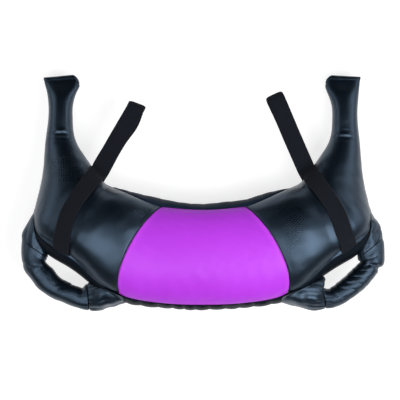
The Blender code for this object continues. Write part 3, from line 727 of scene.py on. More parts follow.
class Shell:
    """The surface of the stuffed bag. Angle 0 is the inner edge, a quarter turn the front
    face, half a turn the outer edge and three quarters the back face."""

    FLOOR_SOFTNESS = 2 * MM  # height over which the underside eases on to the floor
    TIP_REACH = 2.5 * MM  # how far a horn's end reaches past its profile
    TIP_STATIONS = 1.8  # stations over which the end leaves its profile
    CUT_CORNER_FROM = 0.6  # share of a horn's half width where its cut corner begins
    HORN_SPREAD = 3 * MM  # how far the horns stand out past their profile
    SPREAD_END, SPREAD_OVER = 8.5, 4  # station where that ends, and stations it takes

    def __init__(self, shape):
        self.shape = shape
        self.rows = profile_rows(shape)
        self.bends = spline_bends(self.rows)

    def profile(self, stations):
        stations = np.clip(np.asarray(stations, float), 0, LAST_STATION)
        return spline_rows(self.rows, self.bends, stations)

    def thickness(self, stations):
        return self.profile(stations)[..., 4]

    def middle(self, stations):
        """The spine: the middle of each section."""
        row = self.profile(stations)
        return np.stack([row[..., 0], row[..., 1], row[..., 5] + row[..., 4] / 2], axis=-1)

    def points(self, stations, angles, depth=0.0):
        """Points of the surface, or at a depth below it."""
        stations, angles = np.broadcast_arrays(np.asarray(stations, float), angles)
        x, y, turn, width, thickness, underside = np.moveaxis(self.profile(stations), -1, 0)
        power = 2 / self.shape.section_power
        cosine, sine = np.cos(angles), np.sin(angles)
        across = (width / 2 - depth) * np.sign(cosine) * np.abs(cosine) ** power
        up = (thickness / 2 - depth) * np.sign(sine) * np.abs(sine) ** power
        height = underside + thickness / 2 + up - depth
        height = depth + (height + np.hypot(height, self.FLOOR_SOFTNESS)) / 2
        y = y + self.tip_rise(stations, across, 2 * across / width)
        horn = eased((self.SPREAD_END - from_horn_tip(stations)) / self.SPREAD_OVER)
        x = x + np.sign(x) * self.HORN_SPREAD * horn
        across = across + self.fullness(stations, 2 * across / width)
        return np.stack([x + across * np.cos(turn), y + across * np.sin(turn), height], axis=-1)

    def tip_rise(self, stations, across, share):
        """How far the slanted end of a horn reaches past the plain one."""
        rise = np.zeros_like(stations)
        corner = np.clip((share - self.CUT_CORNER_FROM) / (1 - self.CUT_CORNER_FROM), 0, 1) ** 2
        for side in SIDES:
            slope, cut = TIP_SLANT[side]
            slanted = self.TIP_REACH + slope * across - cut * corner
            rise = rise + slanted * eased(1 - on_side(side, stations) / self.TIP_STATIONS)
        return rise

    def fullness(self, stations, share):
        """How far the edges near a horn's end stand out past the plain ones."""
        more = np.zeros_like(stations)
        for side in SIDES:
            for (amount, place, reach), toward in zip(HORN_FULLNESS[side], (-share, share)):
                beside = eased((toward - 0.2) / 0.7) * np.sign(share)
                more = more + amount * beside * hill(on_side(side, stations) - place, reach)
        return more

    def along_ways(self, stations, angles):
        """The surface's direction along the bag, towards the right horn."""
        ahead = self.points(np.asarray(stations) + NEAR_STATION, angles)
        return unit(ahead - self.points(np.asarray(stations) - NEAR_STATION, angles))

    def normals(self, stations, angles):
        after = self.points(stations, np.asarray(angles) + NEAR_TURN)
        before = self.points(stations, np.asarray(angles) - NEAR_TURN)
        return unit(np.cross(after - before, self.along_ways(stations, angles)))

    def edge_angle(self, stations, half_width):
        """How far round the section a band reaches that is half_width each side of the edge."""
        share = np.clip(half_width / (self.thickness(stations) / 2), 0, 1)
        return np.arcsin(share ** (self.shape.section_power / 2))

    def inner_half_width(self, stations):
        from_tip = from_horn_tip(stations)
        grown = (from_tip - INNER_GUSSET_START) / (INNER_GUSSET_FULL - INNER_GUSSET_START)
        grown = np.clip(grown, 0, 1)
        tip, whole = self.shape.gusset_tip_width, self.shape.gusset_width
        width = tip + (whole - tip) * grown * (2 - grown)
        return width / 2 * eased((from_tip - INNER_GUSSET_START) / GUSSET_TIP_REACH + 1)

    def outer_half_width(self, stations):
        from_tip = from_horn_tip(stations)
        fine = through_rows(np.array(OUTER_SEAM_ROUTE), 200)
        share = np.interp(from_tip, fine[:, 0], fine[:, 1])
        width = np.maximum(share * self.shape.gusset_width, self.shape.gusset_tip_width)
        return width / 2 * eased((from_tip - OUTER_GUSSET_START) / GUSSET_TIP_REACH + 1)

    def face_angles(self, stations, shares, gap):
        """Angles across a face between its two gussets, at shares of the way across."""
        seam = gap / self.thickness(stations)
        low = self.edge_angle(stations, self.inner_half_width(stations)) + seam
        high = math.pi - self.edge_angle(stations, self.outer_half_width(stations)) - seam
        return low + (high - low) * shares

    def face_lengths(self, first, last):
        """Stations between two, and the length along the middle of a face up to each."""
        stations = np.linspace(first, last, 400)
        return stations, lengths_along(self.points(stations, math.pi / 2), 0)

    def face_length(self, first, last):
        return self.face_lengths(first, last)[1][-1]

    def stations_by_length(self, first, last, shares):
        """Stations between two, at shares of the length between them."""
        fine, length = self.face_lengths(first, last)
        return np.interp(shares * length[-1], length, fine)

    def surface(self):
        """The outer surface, finely divided, to lay webbing and handle tabs on."""
        stations = np.linspace(BEND_STATION, LAST_STATION - BEND_STATION, 260)
        angles = np.linspace(0, 2 * math.pi, 121)
        points = self.points(stations[:, None], angles)
        return BVHTree.FromPolygons(points.reshape(-1, 3).tolist(), grid_faces(*points.shape[:2]))


def centre_seam(side, share):
    """Stations from the horn tip of the seam between side and centre panel, at a share of the
    way across the face."""
    bulge = CENTRE_SEAM_BULGE * np.sin(math.pi * share)
    return CENTRE_SEAM[side] - bulge + CENTRE_SEAM_LEAN * (1 - 2 * share)


# Meshes


def grid_faces(rows, columns, start=0, flip=False):
    """Four-sided faces over a grid of points, row by row."""
    i, j = np.meshgrid(np.arange(rows - 1), np.arange(columns - 1), indexing="ij")
    a = (start + i * columns + j).ravel()
    faces = np.stack([a, a + 1, a + columns + 1, a + columns], axis=1)
    return (faces[:, ::-1] if flip else faces).tolist()


def tube_faces(rows, columns, start=0):
    """Faces of a row of rings, closed at both ends."""
    rings = (start, start + (rows - 1) * columns)
    ends = [tuple(range(first, first + columns - 1)) for first in rings]
    return grid_faces(rows, columns, start) + ends


def rim_faces(rows, columns, start):
    """Faces that join the borders of a grid to those of a second grid, numbered from start."""
    top = np.arange(columns)
    side = np.arange(rows) * columns
    loop = np.concatenate([top, side[1:] + columns - 1, top[::-1][1:] + side[-1], side[::-1][1:]])
    a, b = loop[:-1], loop[1:]
    return np.stack([b, a, a + start, b + start], axis=1).tolist()


def add_piece(name, points, faces, cloth, finish, wear=None):
    """A mesh object. cloth holds each point's place on the flat cloth, which its weave
    follows, and wear how far each point is rubbed. Points in one place become one."""
    points = np.asarray(points, float).reshape(-1, 3)
    mesh = bpy.data.meshes.new(name)
    mesh.from_pydata(points.tolist(), [], faces)
    corner_points = np.empty(len(mesh.loops), np.int32)
    mesh.loops.foreach_get("vertex_index", corner_points)
    places = np.asarray(cloth, np.float32).reshape(-1, 2)[corner_points]
    mesh.uv_layers.new(name="cloth").uv.foreach_set("vector", places.ravel())
    if wear is not None:
        worn = mesh.attributes.new("wear", "FLOAT", "POINT")
        worn.data.foreach_set("value", np.asarray(wear, np.float32).ravel())
    shape = bmesh.new()
    shape.from_mesh(mesh)
    bmesh.ops.remove_doubles(shape, verts=shape.verts, dist=0.002 * MM)
    bmesh.ops.recalc_face_normals(shape, faces=shape.faces)
    shape.to_mesh(mesh)
    shape.free()
    mesh.shade_smooth()
    mesh.materials.append(finish)
    piece = bpy.data.objects.new(name, mesh)
    bpy.context.scene.collection.objects.link(piece)
    return piece


def add_layer(name, outer, wall, cloth, finish, wear=None, inward=-1, ring=False):
    """Cloth of an even wall thickness below a grid of points, as one closed mesh."""
    inner = outer + inward * grid_normals(outer, ring) * np.asarray(wall)
    rows, columns = outer.shape[:2]
    count = rows * columns
    faces = grid_faces(rows, columns) + grid_faces(rows, columns, count, flip=True)
    faces += rim_faces(rows, columns, count)
    points = np.concatenate([outer.reshape(-1, 3), inner.reshape(-1, 3)])
    if wear is not None:
        wear = np.concatenate([wear.ravel(), wear.ravel()])
    cloth = np.concatenate([cloth.reshape(-1, 2), cloth.reshape(-1, 2)])
    return add_piece(name, points, faces, cloth, finish, wear)


def add_stuffing(name, rings, finish):
    """A closed solid through a row of rings."""
    rings = closed_ring(rings)
    return add_piece(name, rings, tube_faces(*rings.shape[:2]), ring_places(rings), finish)


def closed_ring(ring):
    """Closes a ring grid: its last column takes the first one's points."""
    ring = ring.copy()
    ring[:, -1] = ring[:, 0]
    return ring


def ring_places(rings):
    """Place of each point of a row of rings on the flat cloth."""
    return np.stack([lengths_along(rings, 0), lengths_along(rings, 1)], axis=-1)


def cloth_places(points):
    """Place of each grid point on the flat cloth, measured from the middle of each row."""
    across = lengths_along(points, 1)
    return np.stack([lengths_along(points, 0), across - across[:, -1:] / 2], axis=-1)


def turned_in(points, normals, amount):
    """The grid with a strip of allowance added inside each border."""
    inside = points - normals * amount
    points = np.concatenate([inside[:1], points, inside[-1:]])
    inside = np.concatenate([inside[:1], inside, inside[-1:]])
    return np.concatenate([inside[:, :1], points, inside[:, -1:]], axis=1)


def rolled(distance, roll):
    """Depth of a panel's edge as it rolls into its seam, at a distance from the seam."""
    near = np.clip(roll - distance, 0, roll)
    return roll - np.sqrt(roll**2 - near**2)


def sewn_layer(name, shell, stations, angles, detail, relief, seam_pull, finish):
    """A panel over the shell: crowned between its seams, its edges rolled in and turned inside.
    relief gives the height added to each point, from its place and its distance to the nearer
    side seam."""
    points = shell.points(stations, angles)
    normals = grid_normals(points)
    facing = np.sign((normals * (points - shell.middle(stations))).sum())
    normals = normals * facing
    across, along = lengths_along(points, 1), lengths_along(points, 0)
    side = np.minimum(across, across[:, -1:] - across)
    end = np.minimum(along, along[-1:] - along)
    edge = np.minimum(side, end)
    belly = eased((from_horn_tip(stations) - BELLY_START) / (BELLY_FULL - BELLY_START))
    pull = seam_pull * np.exp(-side / detail.seam_pull_reach)
    pull = pull + detail.cross_seam_pull * np.exp(-end / detail.cross_seam_reach) * belly
    thickness = shell.thickness(stations)
    roll = rolled(edge, np.minimum(detail.seam_roll, 0.3 * thickness))
    calm = eased(edge / (3 * detail.seam_roll))
    points = points + normals * (relief(points, side) * calm - pull - roll)[..., None]
    points[..., 2] = np.maximum(points[..., 2], 0.0)
    cloth = np.pad(cloth_places(points), ((1, 1), (1, 1), (0, 0)), mode="edge")
    wear = hill(edge - 1.6 * detail.seam_roll, 1.3 * detail.seam_roll)
    wear = np.pad(wear, 1, mode="edge")
    amount = np.minimum(detail.allowance, 0.25 * thickness)[..., None]
    points = turned_in(points, normals, amount)
    return add_layer(name, points, detail.wall, cloth, finish, wear, inward=-facing)


# Materials


def node(tree, kind, inputs=(), **options):
    """A new shader node with its options, and each named input set to a value or linked."""
    made = tree.nodes.new(kind)
    for key, value in options.items():
        setattr(made, key, value)
    for key, value in dict(inputs).items():
        if isinstance(value, bpy.types.NodeSocket):
            tree.links.new(value, made.inputs[key])
        else:
            made.inputs[key].default_value = value
    return made


def blank_material(name):
    """A new material, its node tree and its shader."""
    made = bpy.data.materials.new(name)
    made.use_nodes = True
    return made, made.node_tree, made.node_tree.nodes["Principled BSDF"]


def maths(tree, operation, *values):
    made = node(tree, "ShaderNodeMath", dict(enumerate(values)), operation=operation)
    return made.outputs["Value"]


def mixed_colours(tree, share, first, second):
    inputs = {"Factor": share, "A": first, "B": second}
    return node(tree, "ShaderNodeMix", inputs, data_type="RGBA").outputs["Result"]


def cloth_grid(tree, cell, turn=0.0):
    """The place on the flat cloth, in cells, as separate numbers along and across."""
    place = node(tree, "ShaderNodeUVMap", uv_map="cloth").outputs["UV"]
    scaled = node(
        tree,
        "ShaderNodeMapping",
        {"Vector": place, "Rotation": (0, 0, turn), "Scale": (1 / cell, 1 / cell, 1)},
    )
    split = node(tree, "ShaderNodeSeparateXYZ", {"Vector": scaled.outputs["Vector"]})
    return scaled.outputs["Vector"], split.outputs["X"], split.outputs["Y"]


def ridges(tree, place, period=1.0):
    """Rounded ridges along one direction, from 0 to 1, one to a period."""
    wave = maths(tree, "SINE", maths(tree, "MULTIPLY", place, 2 * math.pi / period))
    return maths(tree, "MULTIPLY_ADD", wave, 0.5, 0.5)


def noise(tree, scale, detail, roughness=0.5):
    """Uneven values from 0 to 1, by the place in the piece."""
    place = node(tree, "ShaderNodeTexCoord").outputs["Object"]
    inputs = {"Vector": place, "Scale": scale, "Detail": detail, "Roughness": roughness}
    return node(tree, "ShaderNodeTexNoise", inputs).outputs["Fac"]


def raised(tree, height, distance, strength=1.0, below=None):
    """The normals of a bumpy surface, over those of a coarser one below."""
    inputs = {"Height": height, "Distance": distance, "Strength": strength}
    if below is not None:
        inputs["Normal"] = below
    return node(tree, "ShaderNodeBump", inputs).outputs["Normal"]


def spread(tree, value, low, high):
    """A value from 0 to 1 mapped to a range."""
    made = node(tree, "ShaderNodeMapRange", {"Value": value, "To Min": low, "To Max": high})
    return made.outputs["Result"]


def shade(colour, factor):
    """A colour made lighter or darker."""
    return (*[min(1.0, part * factor) for part in colour], 1.0)


def leatherette(name, colour, cell, weave, roughness, specular, tint):
    """Satin coated cloth. weave is "twill", small diagonal blocks of ribs, or "grid", and it
    also makes the gloss a little sharper and duller by turns."""
    made, tree, shader = blank_material(name)
    if weave == "twill":
        vector, x, y = cloth_grid(tree, cell, math.radians(45))
        blocks = node(tree, "ShaderNodeTexChecker", {"Vector": vector, "Scale": 1.0})
        share = blocks.outputs["Fac"]
        first, second = ridges(tree, x, 1 / 2), ridges(tree, y, 1 / 2)
        lean = maths(tree, "MULTIPLY", maths(tree, "SUBTRACT", second, first), share)
        emboss = maths(tree, "ADD", first, lean)
    else:
        vector, x, y = cloth_grid(tree, cell)
        emboss = share = maths(tree, "MINIMUM", ridges(tree, x), ridges(tree, y))
    grain = noise(tree, 900.0, 2.0)
    cloudy = noise(tree, 9.0, 4.0)
    duller = spread(tree, share, -WEAVE_GLOSS, WEAVE_GLOSS)
    rubbed = node(tree, "ShaderNodeAttribute", attribute_name="wear").outputs["Fac"]
    patchy = maths(tree, "MULTIPLY", rubbed, spread(tree, noise(tree, 60.0, 4.0), 0.0, 1.4))
    base = mixed_colours(tree, cloudy, shade(colour, 0.86), shade(colour, 1.14))
    base = mixed_colours(tree, maths(tree, "MULTIPLY", emboss, 0.3), base, shade(colour, 1.5))
    base = mixed_colours(tree, maths(tree, "MULTIPLY", patchy, 0.16), base, shade(colour, 2.2))
    tree.links.new(base, shader.inputs["Base Color"])
    uneven = spread(tree, cloudy, roughness - 0.04, roughness + 0.04)
    woven = maths(tree, "ADD", uneven, duller)
    rougher = maths(tree, "ADD", woven, maths(tree, "MULTIPLY", patchy, 0.1))
    tree.links.new(rougher, shader.inputs["Roughness"])
    bumps = raised(tree, grain, 0.006 * MM, 0.6)
    tree.links.new(raised(tree, emboss, 0.05 * MM, below=bumps), shader.inputs["Normal"])
    shader.inputs["Specular IOR Level"].default_value = specular
    shader.inputs["Specular Tint"].default_value = tint
    return made


def woven_webbing(name, colour, rib):
    """Nylon webbing: ribs along its length, crossed by a fine weft."""
    made, tree, shader = blank_material(name)
    _, along, across = cloth_grid(tree, rib)
    warp = ridges(tree, across)
    weft = ridges(tree, maths(tree, "ADD", along, maths(tree, "MULTIPLY", warp, 0.5)), 1 / 2)
    weave = maths(tree, "ADD", warp, maths(tree, "MULTIPLY", weft, 0.5))
    fuzz = noise(tree, 1500.0, 2.0)
    cloudy = noise(tree, 25.0, 3.0)
    base = mixed_colours(tree, cloudy, shade(colour, 0.8), shade(colour, 1.2))
    base = mixed_colours(tree, maths(tree, "MULTIPLY", weave, 0.4), base, shade(colour, 1.9))
    tree.links.new(base, shader.inputs["Base Color"])
    tree.links.new(spread(tree, fuzz, 0.72, 0.92), shader.inputs["Roughness"])
    bumps = raised(tree, fuzz, 0.04 * MM, 0.6)
    tree.links.new(raised(tree, weave, 0.22 * MM, below=bumps), shader.inputs["Normal"])
    shader.inputs["Specular IOR Level"].default_value = 0.15
    shader.inputs["Sheen Weight"].default_value = 0.02
    return made


def soft_stuff(name, colour, bump_scale, bump_height, roughness):
    """Wadding, sleeve cloth or foam: matt, uneven in colour, with a fine bumpy surface."""
    made, tree, shader = blank_material(name)
    fine, broad = noise(tree, bump_scale, 5.0, 0.6), noise(tree, 30.0, 4.0)
    base = mixed_colours(tree, broad, shade(colour, 0.82), shade(colour, 1.12))
    base = mixed_colours(tree, fine, base, shade(colour, 1.25))
    tree.links.new(base, shader.inputs["Base Color"])
    tree.links.new(spread(tree, fine, roughness - 0.1, roughness), shader.inputs["Roughness"])
    tree.links.new(raised(tree, fine, bump_height), shader.inputs["Normal"])
    shader.inputs["Specular IOR Level"].default_value = 0.2
    return made


def canvas(name, colour, cell):
    """Plain woven cloth of the sand sleeves."""
    made, tree, shader = blank_material(name)
    _, x, y = cloth_grid(tree, cell)
    weave = maths(tree, "MULTIPLY", ridges(tree, x), ridges(tree, y))
    dusty = noise(tree, 40.0, 4.0)
    base = mixed_colours(tree, weave, shade(colour, 0.8), shade(colour, 1.15))
    base = mixed_colours(tree, maths(tree, "MULTIPLY", dusty, 0.4), base, shade(colour, 1.3))
    tree.links.new(base, shader.inputs["Base Color"])
    shader.inputs["Roughness"].default_value = 0.9
    tree.links.new(raised(tree, weave, 0.15 * MM), shader.inputs["Normal"])
    return made


def material(key):
    """One of the bag's materials, made when it is first wanted."""
    found = bpy.data.materials.get(key)
    if found is not None:
        return found
    scene = bpy.context.scene
    colours, cell = scene.bag_colours, scene.bag_cover.emboss_cell
    recipes = {
        # weave, roughness, specular level and tint of the gloss
        "black_cover_cloth": (leatherette, colours.black, cell, "twill", 0.33, 0.9, BLUE_GLOSS),
        "black_gusset_cloth": (leatherette, colours.black, cell, "twill", 0.5, 0.12, BLUE_GLOSS),
        # The inner gusset's cloth has painted sheen: a lighter colour in place of the light it
        # catches at a grazing angle
        "blue_black_gusset_cloth": (
            leatherette, colours.gusset, cell, "twill", 0.5, 0.05, BLUE_GLOSS,
        ),
        "purple_cover_cloth": (leatherette, colours.purple, cell, "grid", 0.42, 0.22, PLAIN_GLOSS),
        "ribbed_webbing": (woven_webbing, colours.webbing, scene.bag_webbing.rib_pitch),
        "sleeve_canvas": (canvas, colours.sleeve, 1.2 * MM),
        # fineness and height of the bumps, and roughness
        "sewing_thread": (soft_stuff, colours.thread, 2500.0, 0.05 * MM, 0.7),
        "loose_wadding": (soft_stuff, colours.wadding, 260.0, 0.5 * MM, 1.0),
        "pitted_foam": (soft_stuff, colours.foam, 1100.0, 0.12 * MM, 0.95),
    }
    maker, *values = recipes[key]
    return maker(key, *values)


# Relief of the covers


def strap_line(shell, side, front, rows):
    """Stations and angles along the middle of a sewn strap, evenly spaced."""
    stations, angles = through_rows(np.array(STRAP_ROUTES[side], float), 200).T.copy()
    for _ in range(STRAP_SMOOTHING):
        stations[1:-1] = (stations[:-2] + 2 * stations[1:-1] + stations[2:]) / 4
        angles[1:-1] = (angles[:-2] + 2 * angles[1:-1] + angles[2:]) / 4
    stations, angles = on_side(side, stations), np.radians(angles)
    length = lengths_along(shell.points(stations, angles), 0)
    even = np.linspace(0, length[-1], rows + 1)
    stations, angles = np.interp(even, length, stations), np.interp(even, length, angles)
    return stations, angles if front else -angles


def press_share(share):
    """Depth of a strap's valley at a share of its length: none where the strap leaves it."""
    return 1 - eased((share - 0.5) / 0.4)


def strap_valley(shell, points, side, front, webbing, detail):
    """Depth of the valley that a strap pulls into the cover, and how free of the strap each
    point is."""
    line = shell.points(*strap_line(shell, side, front, 60))
    depth, edge = np.zeros(points.shape[:2]), np.full(points.shape[:2], 1.0)
    for spot, share in zip(line, np.linspace(0, 1, len(line))):
        off = np.linalg.norm(points - spot, axis=-1) - webbing.width / 2
        edge = np.minimum(edge, off)
        reach = hill(np.maximum(off, 0), detail.strap_press_reach)
        depth = np.maximum(depth, press_share(share) * reach)
    return detail.strap_press * depth, eased((edge - 1 * MM) / (12 * MM))


def horn_end_height(shell, stations, angles, detail):
    """The front of a horn below its sewn end: a funnel-shaped hollow between two ridges that
    run down from the corners."""
    from_tip = from_horn_tip(stations)
    across = np.cos(angles)
    room = np.minimum(detail.dimple_depth, 0.3 * shell.thickness(stations))
    fade = eased((3.4 - from_tip) / 2.8)
    # The hollow's half width, as a share of the horn's, shrinks away from the tip
    reach = np.clip(0.82 - 0.22 * from_tip, 0.16, 1)
    hollow = hill(across, 0.75 * reach)
    ridge = hill(np.abs(across) - np.maximum(reach, 0.52), 0.2)
    return room * fade * (0.05 * ridge - hollow)


def bend_creases(stations, angles, detail):
    """Folds across the front of a horn where it bends, arched towards the tip: one clear crest
    with a line below it, and fainter ones beside it."""
    from_tip = from_horn_tip(stations)
    across = np.cos(angles)
    height = np.zeros_like(from_tip)
    side = "left" if stations.mean() < MIDDLE_STATION else "right"
    for place, depth, reach in CREASES[side]:
        off = from_tip - BEND_STATION - place - 0.16 * across**2
        fade = hill(across, 0.8 * reach)
        crest, line = hill(off + 0.26, 0.15), hill(off, 0.13)
        height += depth * fade * (0.55 * crest - 0.7 * line)
    return detail.crease_depth * height


def crotch_folds(shell, points, side, front):
    """Short folds that fan out over the cover from where the strap passes its inner edge."""
    station = on_side(side, STRAP_ROUTES[side][-1][0])
    root = shell.points(station, 0.2 if front else -0.2)
    away = points - root
    distance = np.linalg.norm(away, axis=-1)
    way = np.arctan2(away[..., 1], away[..., 0] * (1 if side == "left" else -1))
    count, depth, place, reach = 13, 0.75 * MM, 32 * MM, 15 * MM
    fan = np.cos(count * way + lumps(points, 45 * MM, 11)) * hill(distance - place, reach)
    return depth * fan * eased((0.9 - way) / 0.8) * eased((way + 2.2) / 0.6)


def side_relief(shell, detail, webbing, side, front, stations, angles):
    """Height of a side cover's surface: filling, strap, horn end, bend and crotch folds."""
    seed = SIDE_COVER_SEED[side]
    bent, pressed = (1.0, 1.0) if front else (0.35, 0.15)

    def relief(points, _):
        height = detail.lump_depth * lumps(points, 90 * MM, seed)
        height = height + 0.1 * MM * lumps(points, 18 * MM, seed + 1)
        height = height * (0.25 + 0.75 * eased((from_horn_tip(stations) - 2) / 6))
        valley, free = strap_valley(shell, points, side, front, webbing, detail)
        height = (height + crotch_folds(shell, points, side, front)) * free - valley
        height = height + bent * bend_creases(stations, angles, detail)
        return height + pressed * horn_end_height(shell, stations, angles, detail)

    return relief


def panel_relief(detail, seed):
    """Height of a centre panel's surface: the filling under it."""

    def relief(points, _):
        height = detail.lump_depth * lumps(points, 110 * MM, seed)
        return height + 0.12 * MM * lumps(points, 18 * MM, seed + 1)

    return relief


def gusset_relief(detail, stations, outer):
    """Puckers across a gusset: full lobes with sharp valleys between, uneven in spacing."""

    def relief(points, edge):
        along = lengths_along(points, 0)[:, points.shape[1] // 2][:, None]
        wander = lumps(points * np.array([1, 1, 0.25]), 90 * MM, 21)
        phase = along / detail.pucker_pitch + 0.17 * wander
        lobe = np.abs(np.sin(math.pi * phase)) ** 0.75 - 0.75
        small = np.abs(np.sin(math.pi * (2.0 * phase + 0.3))) ** 0.8 - 0.7
        near_seam = hill(edge, 12 * MM)
        depth = detail.pucker_depth * (1.0 if outer else 0.35)
        fade = eased((from_horn_tip(stations) - 13.2) / 1.4) if outer else 1.0
        height = depth * (lobe * (0.75 + 0.25 * near_seam) + 0.45 * small * near_seam) * fade
        return height + 0.7 * detail.lump_depth * lumps(points, 60 * MM, 5)

    return relief


# Pieces of the cover


def settings(context):
    """The shell and the settings of the cover, the webbing and the handles."""
    scene = context.scene
    return Shell(scene.bag_shape), scene.bag_cover, scene.bag_webbing, scene.bag_handle


def finish_piece(piece, slot, *nodes, body="shell", fill=None):
    """Gives a piece its body and hides the CAD nodes that it stands for. slot, its material slot,
    is not used.
    A piece that spans two bodies gets none here and is left unattached."""
    if body is not None:
        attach(piece, body)
    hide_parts(*nodes)


def row_shares(shell, detail, station, cells):
    """Shares across a face at a station, close together at its two seams."""
    angles = shell.face_angles(station, np.linspace(0, 1, 60), detail.seam_gap)
    across = lengths_along(shell.points(station, angles), 0)
    return sewn_shares(across[-1], cells, detail.seam_roll)


def side_cover(shell, detail, webbing, side, front):
    """One face of a side, from the centre seam right up the horn to its sewn end."""
    cells, rows = 64, 270
    seam = CENTRE_SEAM[side]
    seam_shares = row_shares(shell, detail, seam, cells)
    gap = detail.seam_gap / 2 / shell.face_length(seam - 0.5, seam + 0.5)
    along = sewn_shares(shell.face_length(0, seam), rows, detail.seam_roll)
    nominal = shell.stations_by_length(0, seam, along) / seam
    stations = nominal[:, None] * (centre_seam(side, seam_shares) - gap)[None, :]
    shares = np.stack([row_shares(shell, detail, row[cells // 2], cells) for row in stations])
    from_seam = eased((1 - nominal[:, None]) * 12)
    shares = seam_shares * (1 - from_seam) + shares * from_seam
    stations = on_side(side, stations)
    angles = shell.face_angles(stations, shares, detail.seam_gap)
    relief = side_relief(shell, detail, webbing, side, front, stations, angles)
    pull = detail.seam_pull * (0.12 + 0.88 * eased((nominal[:, None] * seam - 7) / 5))
    return sewn_layer(
        f"{face_name(front)}_side_cover_{side}",
        shell,
        stations,
        angles if front else -angles,
        detail,
        relief,
        pull,
        material("black_cover_cloth"),
    )


def centre_panel(shell, detail, front):
    """The panel in the middle of a face: purple at the front, black at the back."""
    cells, rows = 84, 130
    first, last = CENTRE_SEAM["left"], LAST_STATION - CENTRE_SEAM["right"]
    shares = row_shares(shell, detail, first, cells)
    gap = detail.seam_gap / 2 / shell.face_length(first - 0.5, first + 0.5)
    left = centre_seam("left", shares) + gap
    right = LAST_STATION - centre_seam("right", shares) - gap
    along = sewn_shares(shell.face_length(first, last), rows, detail.seam_roll)
    stations = left + (right - left) * along[:, None]
    angles = shell.face_angles(stations, shares, detail.seam_gap)
    colour, face = "purple" if front else "black", face_name(front)
    piece = sewn_layer(
        f"{face}_centre_cover",
        shell,
        stations,
        angles if front else -angles,
        detail,
        panel_relief(detail, 31 if front else 41),
        detail.seam_pull,
        material(f"{colour}_cover_cloth"),
    )
    finish_piece(piece, f"{colour}_leatherette", f"{face}_centre_panel", fill=0.95)


def gusset(shell, detail, outer):
    """The band between front and back, along the outer or the inner edge of the bag."""
    start = (OUTER_GUSSET_START if outer else INNER_GUSSET_START) - GUSSET_TIP_START
    edge = math.pi if outer else 0.0
    rows, cells = 520 if outer else 240, 26
    fine = np.linspace(start, LAST_STATION - start, 1200)
    length = lengths_along(shell.points(fine, edge), 0)
    even = np.linspace(0, length[-1], rows)
    rows_at = np.interp(even, length, fine)
    half = (shell.outer_half_width if outer else shell.inner_half_width)(rows_at)
    reach = shell.edge_angle(rows_at, half) - detail.seam_gap / shell.thickness(rows_at)
    reach = np.maximum(reach, 0.5 * detail.seam_roll / shell.thickness(rows_at))
    shares = sewn_shares(np.maximum(2 * half, 3.2 * detail.seam_roll), cells, detail.seam_roll)
    angles = edge + reach[:, None] * (2 * shares - 1)
    stations = np.broadcast_to(rows_at[:, None], angles.shape)
    relief = gusset_relief(detail, stations, outer)
    node_name = "outer_gusset" if outer else "inner_gusset"
    # The inner gusset is made lighter in colour: painted sheen
    cloth = material("black_gusset_cloth" if outer else "blue_black_gusset_cloth")
    pull = detail.seam_pull * (0.12 + 0.88 * eased((half / half.max())[:, None]))
    pull = pull + TUCKED_TIP * hill(np.minimum(even, even[::-1]), 9 * MM)[:, None]
    name = f"{node_name}_cover"
    piece = sewn_layer(name, shell, stations, angles, detail, relief, pull, cloth)
    finish_piece(piece, "black_leatherette", node_name, fill=0.95)


# Sewing


def stitch_row(points, ways, normals, pitch):
    """Rings of short raised stitches end to end along a line on a surface."""
    length = lengths_along(points, 0)
    count = max(1, int(length[-1] / pitch))
    turns = np.linspace(0, 2 * math.pi, 7)
    cosine, sine = np.cos(turns)[None, :, None], np.sin(turns)[None, :, None]
    arch = THREAD_RADIUS * (1.3 * np.sin(np.linspace(0, math.pi, 7)) - 0.7)
    thick = THREAD_RADIUS * np.array([0.55, 0.9, 1, 1, 1, 0.9, 0.55])
    rings = []
    for k in range(count):
        # Each stitch leaves a gap to the next
        at = (k + np.linspace(0.12, 0.88, 7)) * pitch
        normal = unit(at_lengths(at, length, normals))
        side = unit(np.cross(unit(at_lengths(at, length, ways)), normal))
        middle = at_lengths(at, length, points) + normal * arch[:, None]
        around = cosine * side[:, None] + sine * normal[:, None]
        rings.append(middle[:, None] + thick[:, None, None] * around)
    return rings


def add_stitches(name, rings, body):
    """All of a row's stitches as one piece of thread."""
    points, faces, cloth = [], [], []
    for ring in rings:
        rows, columns = ring.shape[:2]
        faces += tube_faces(rows, columns, len(points) * rows * columns)
        cloth.append(ring_places(ring))
        points.append(ring)
    piece = add_piece(name, np.array(points), faces, np.array(cloth), material("sewing_thread"))
    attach(piece, body)


# Webbing


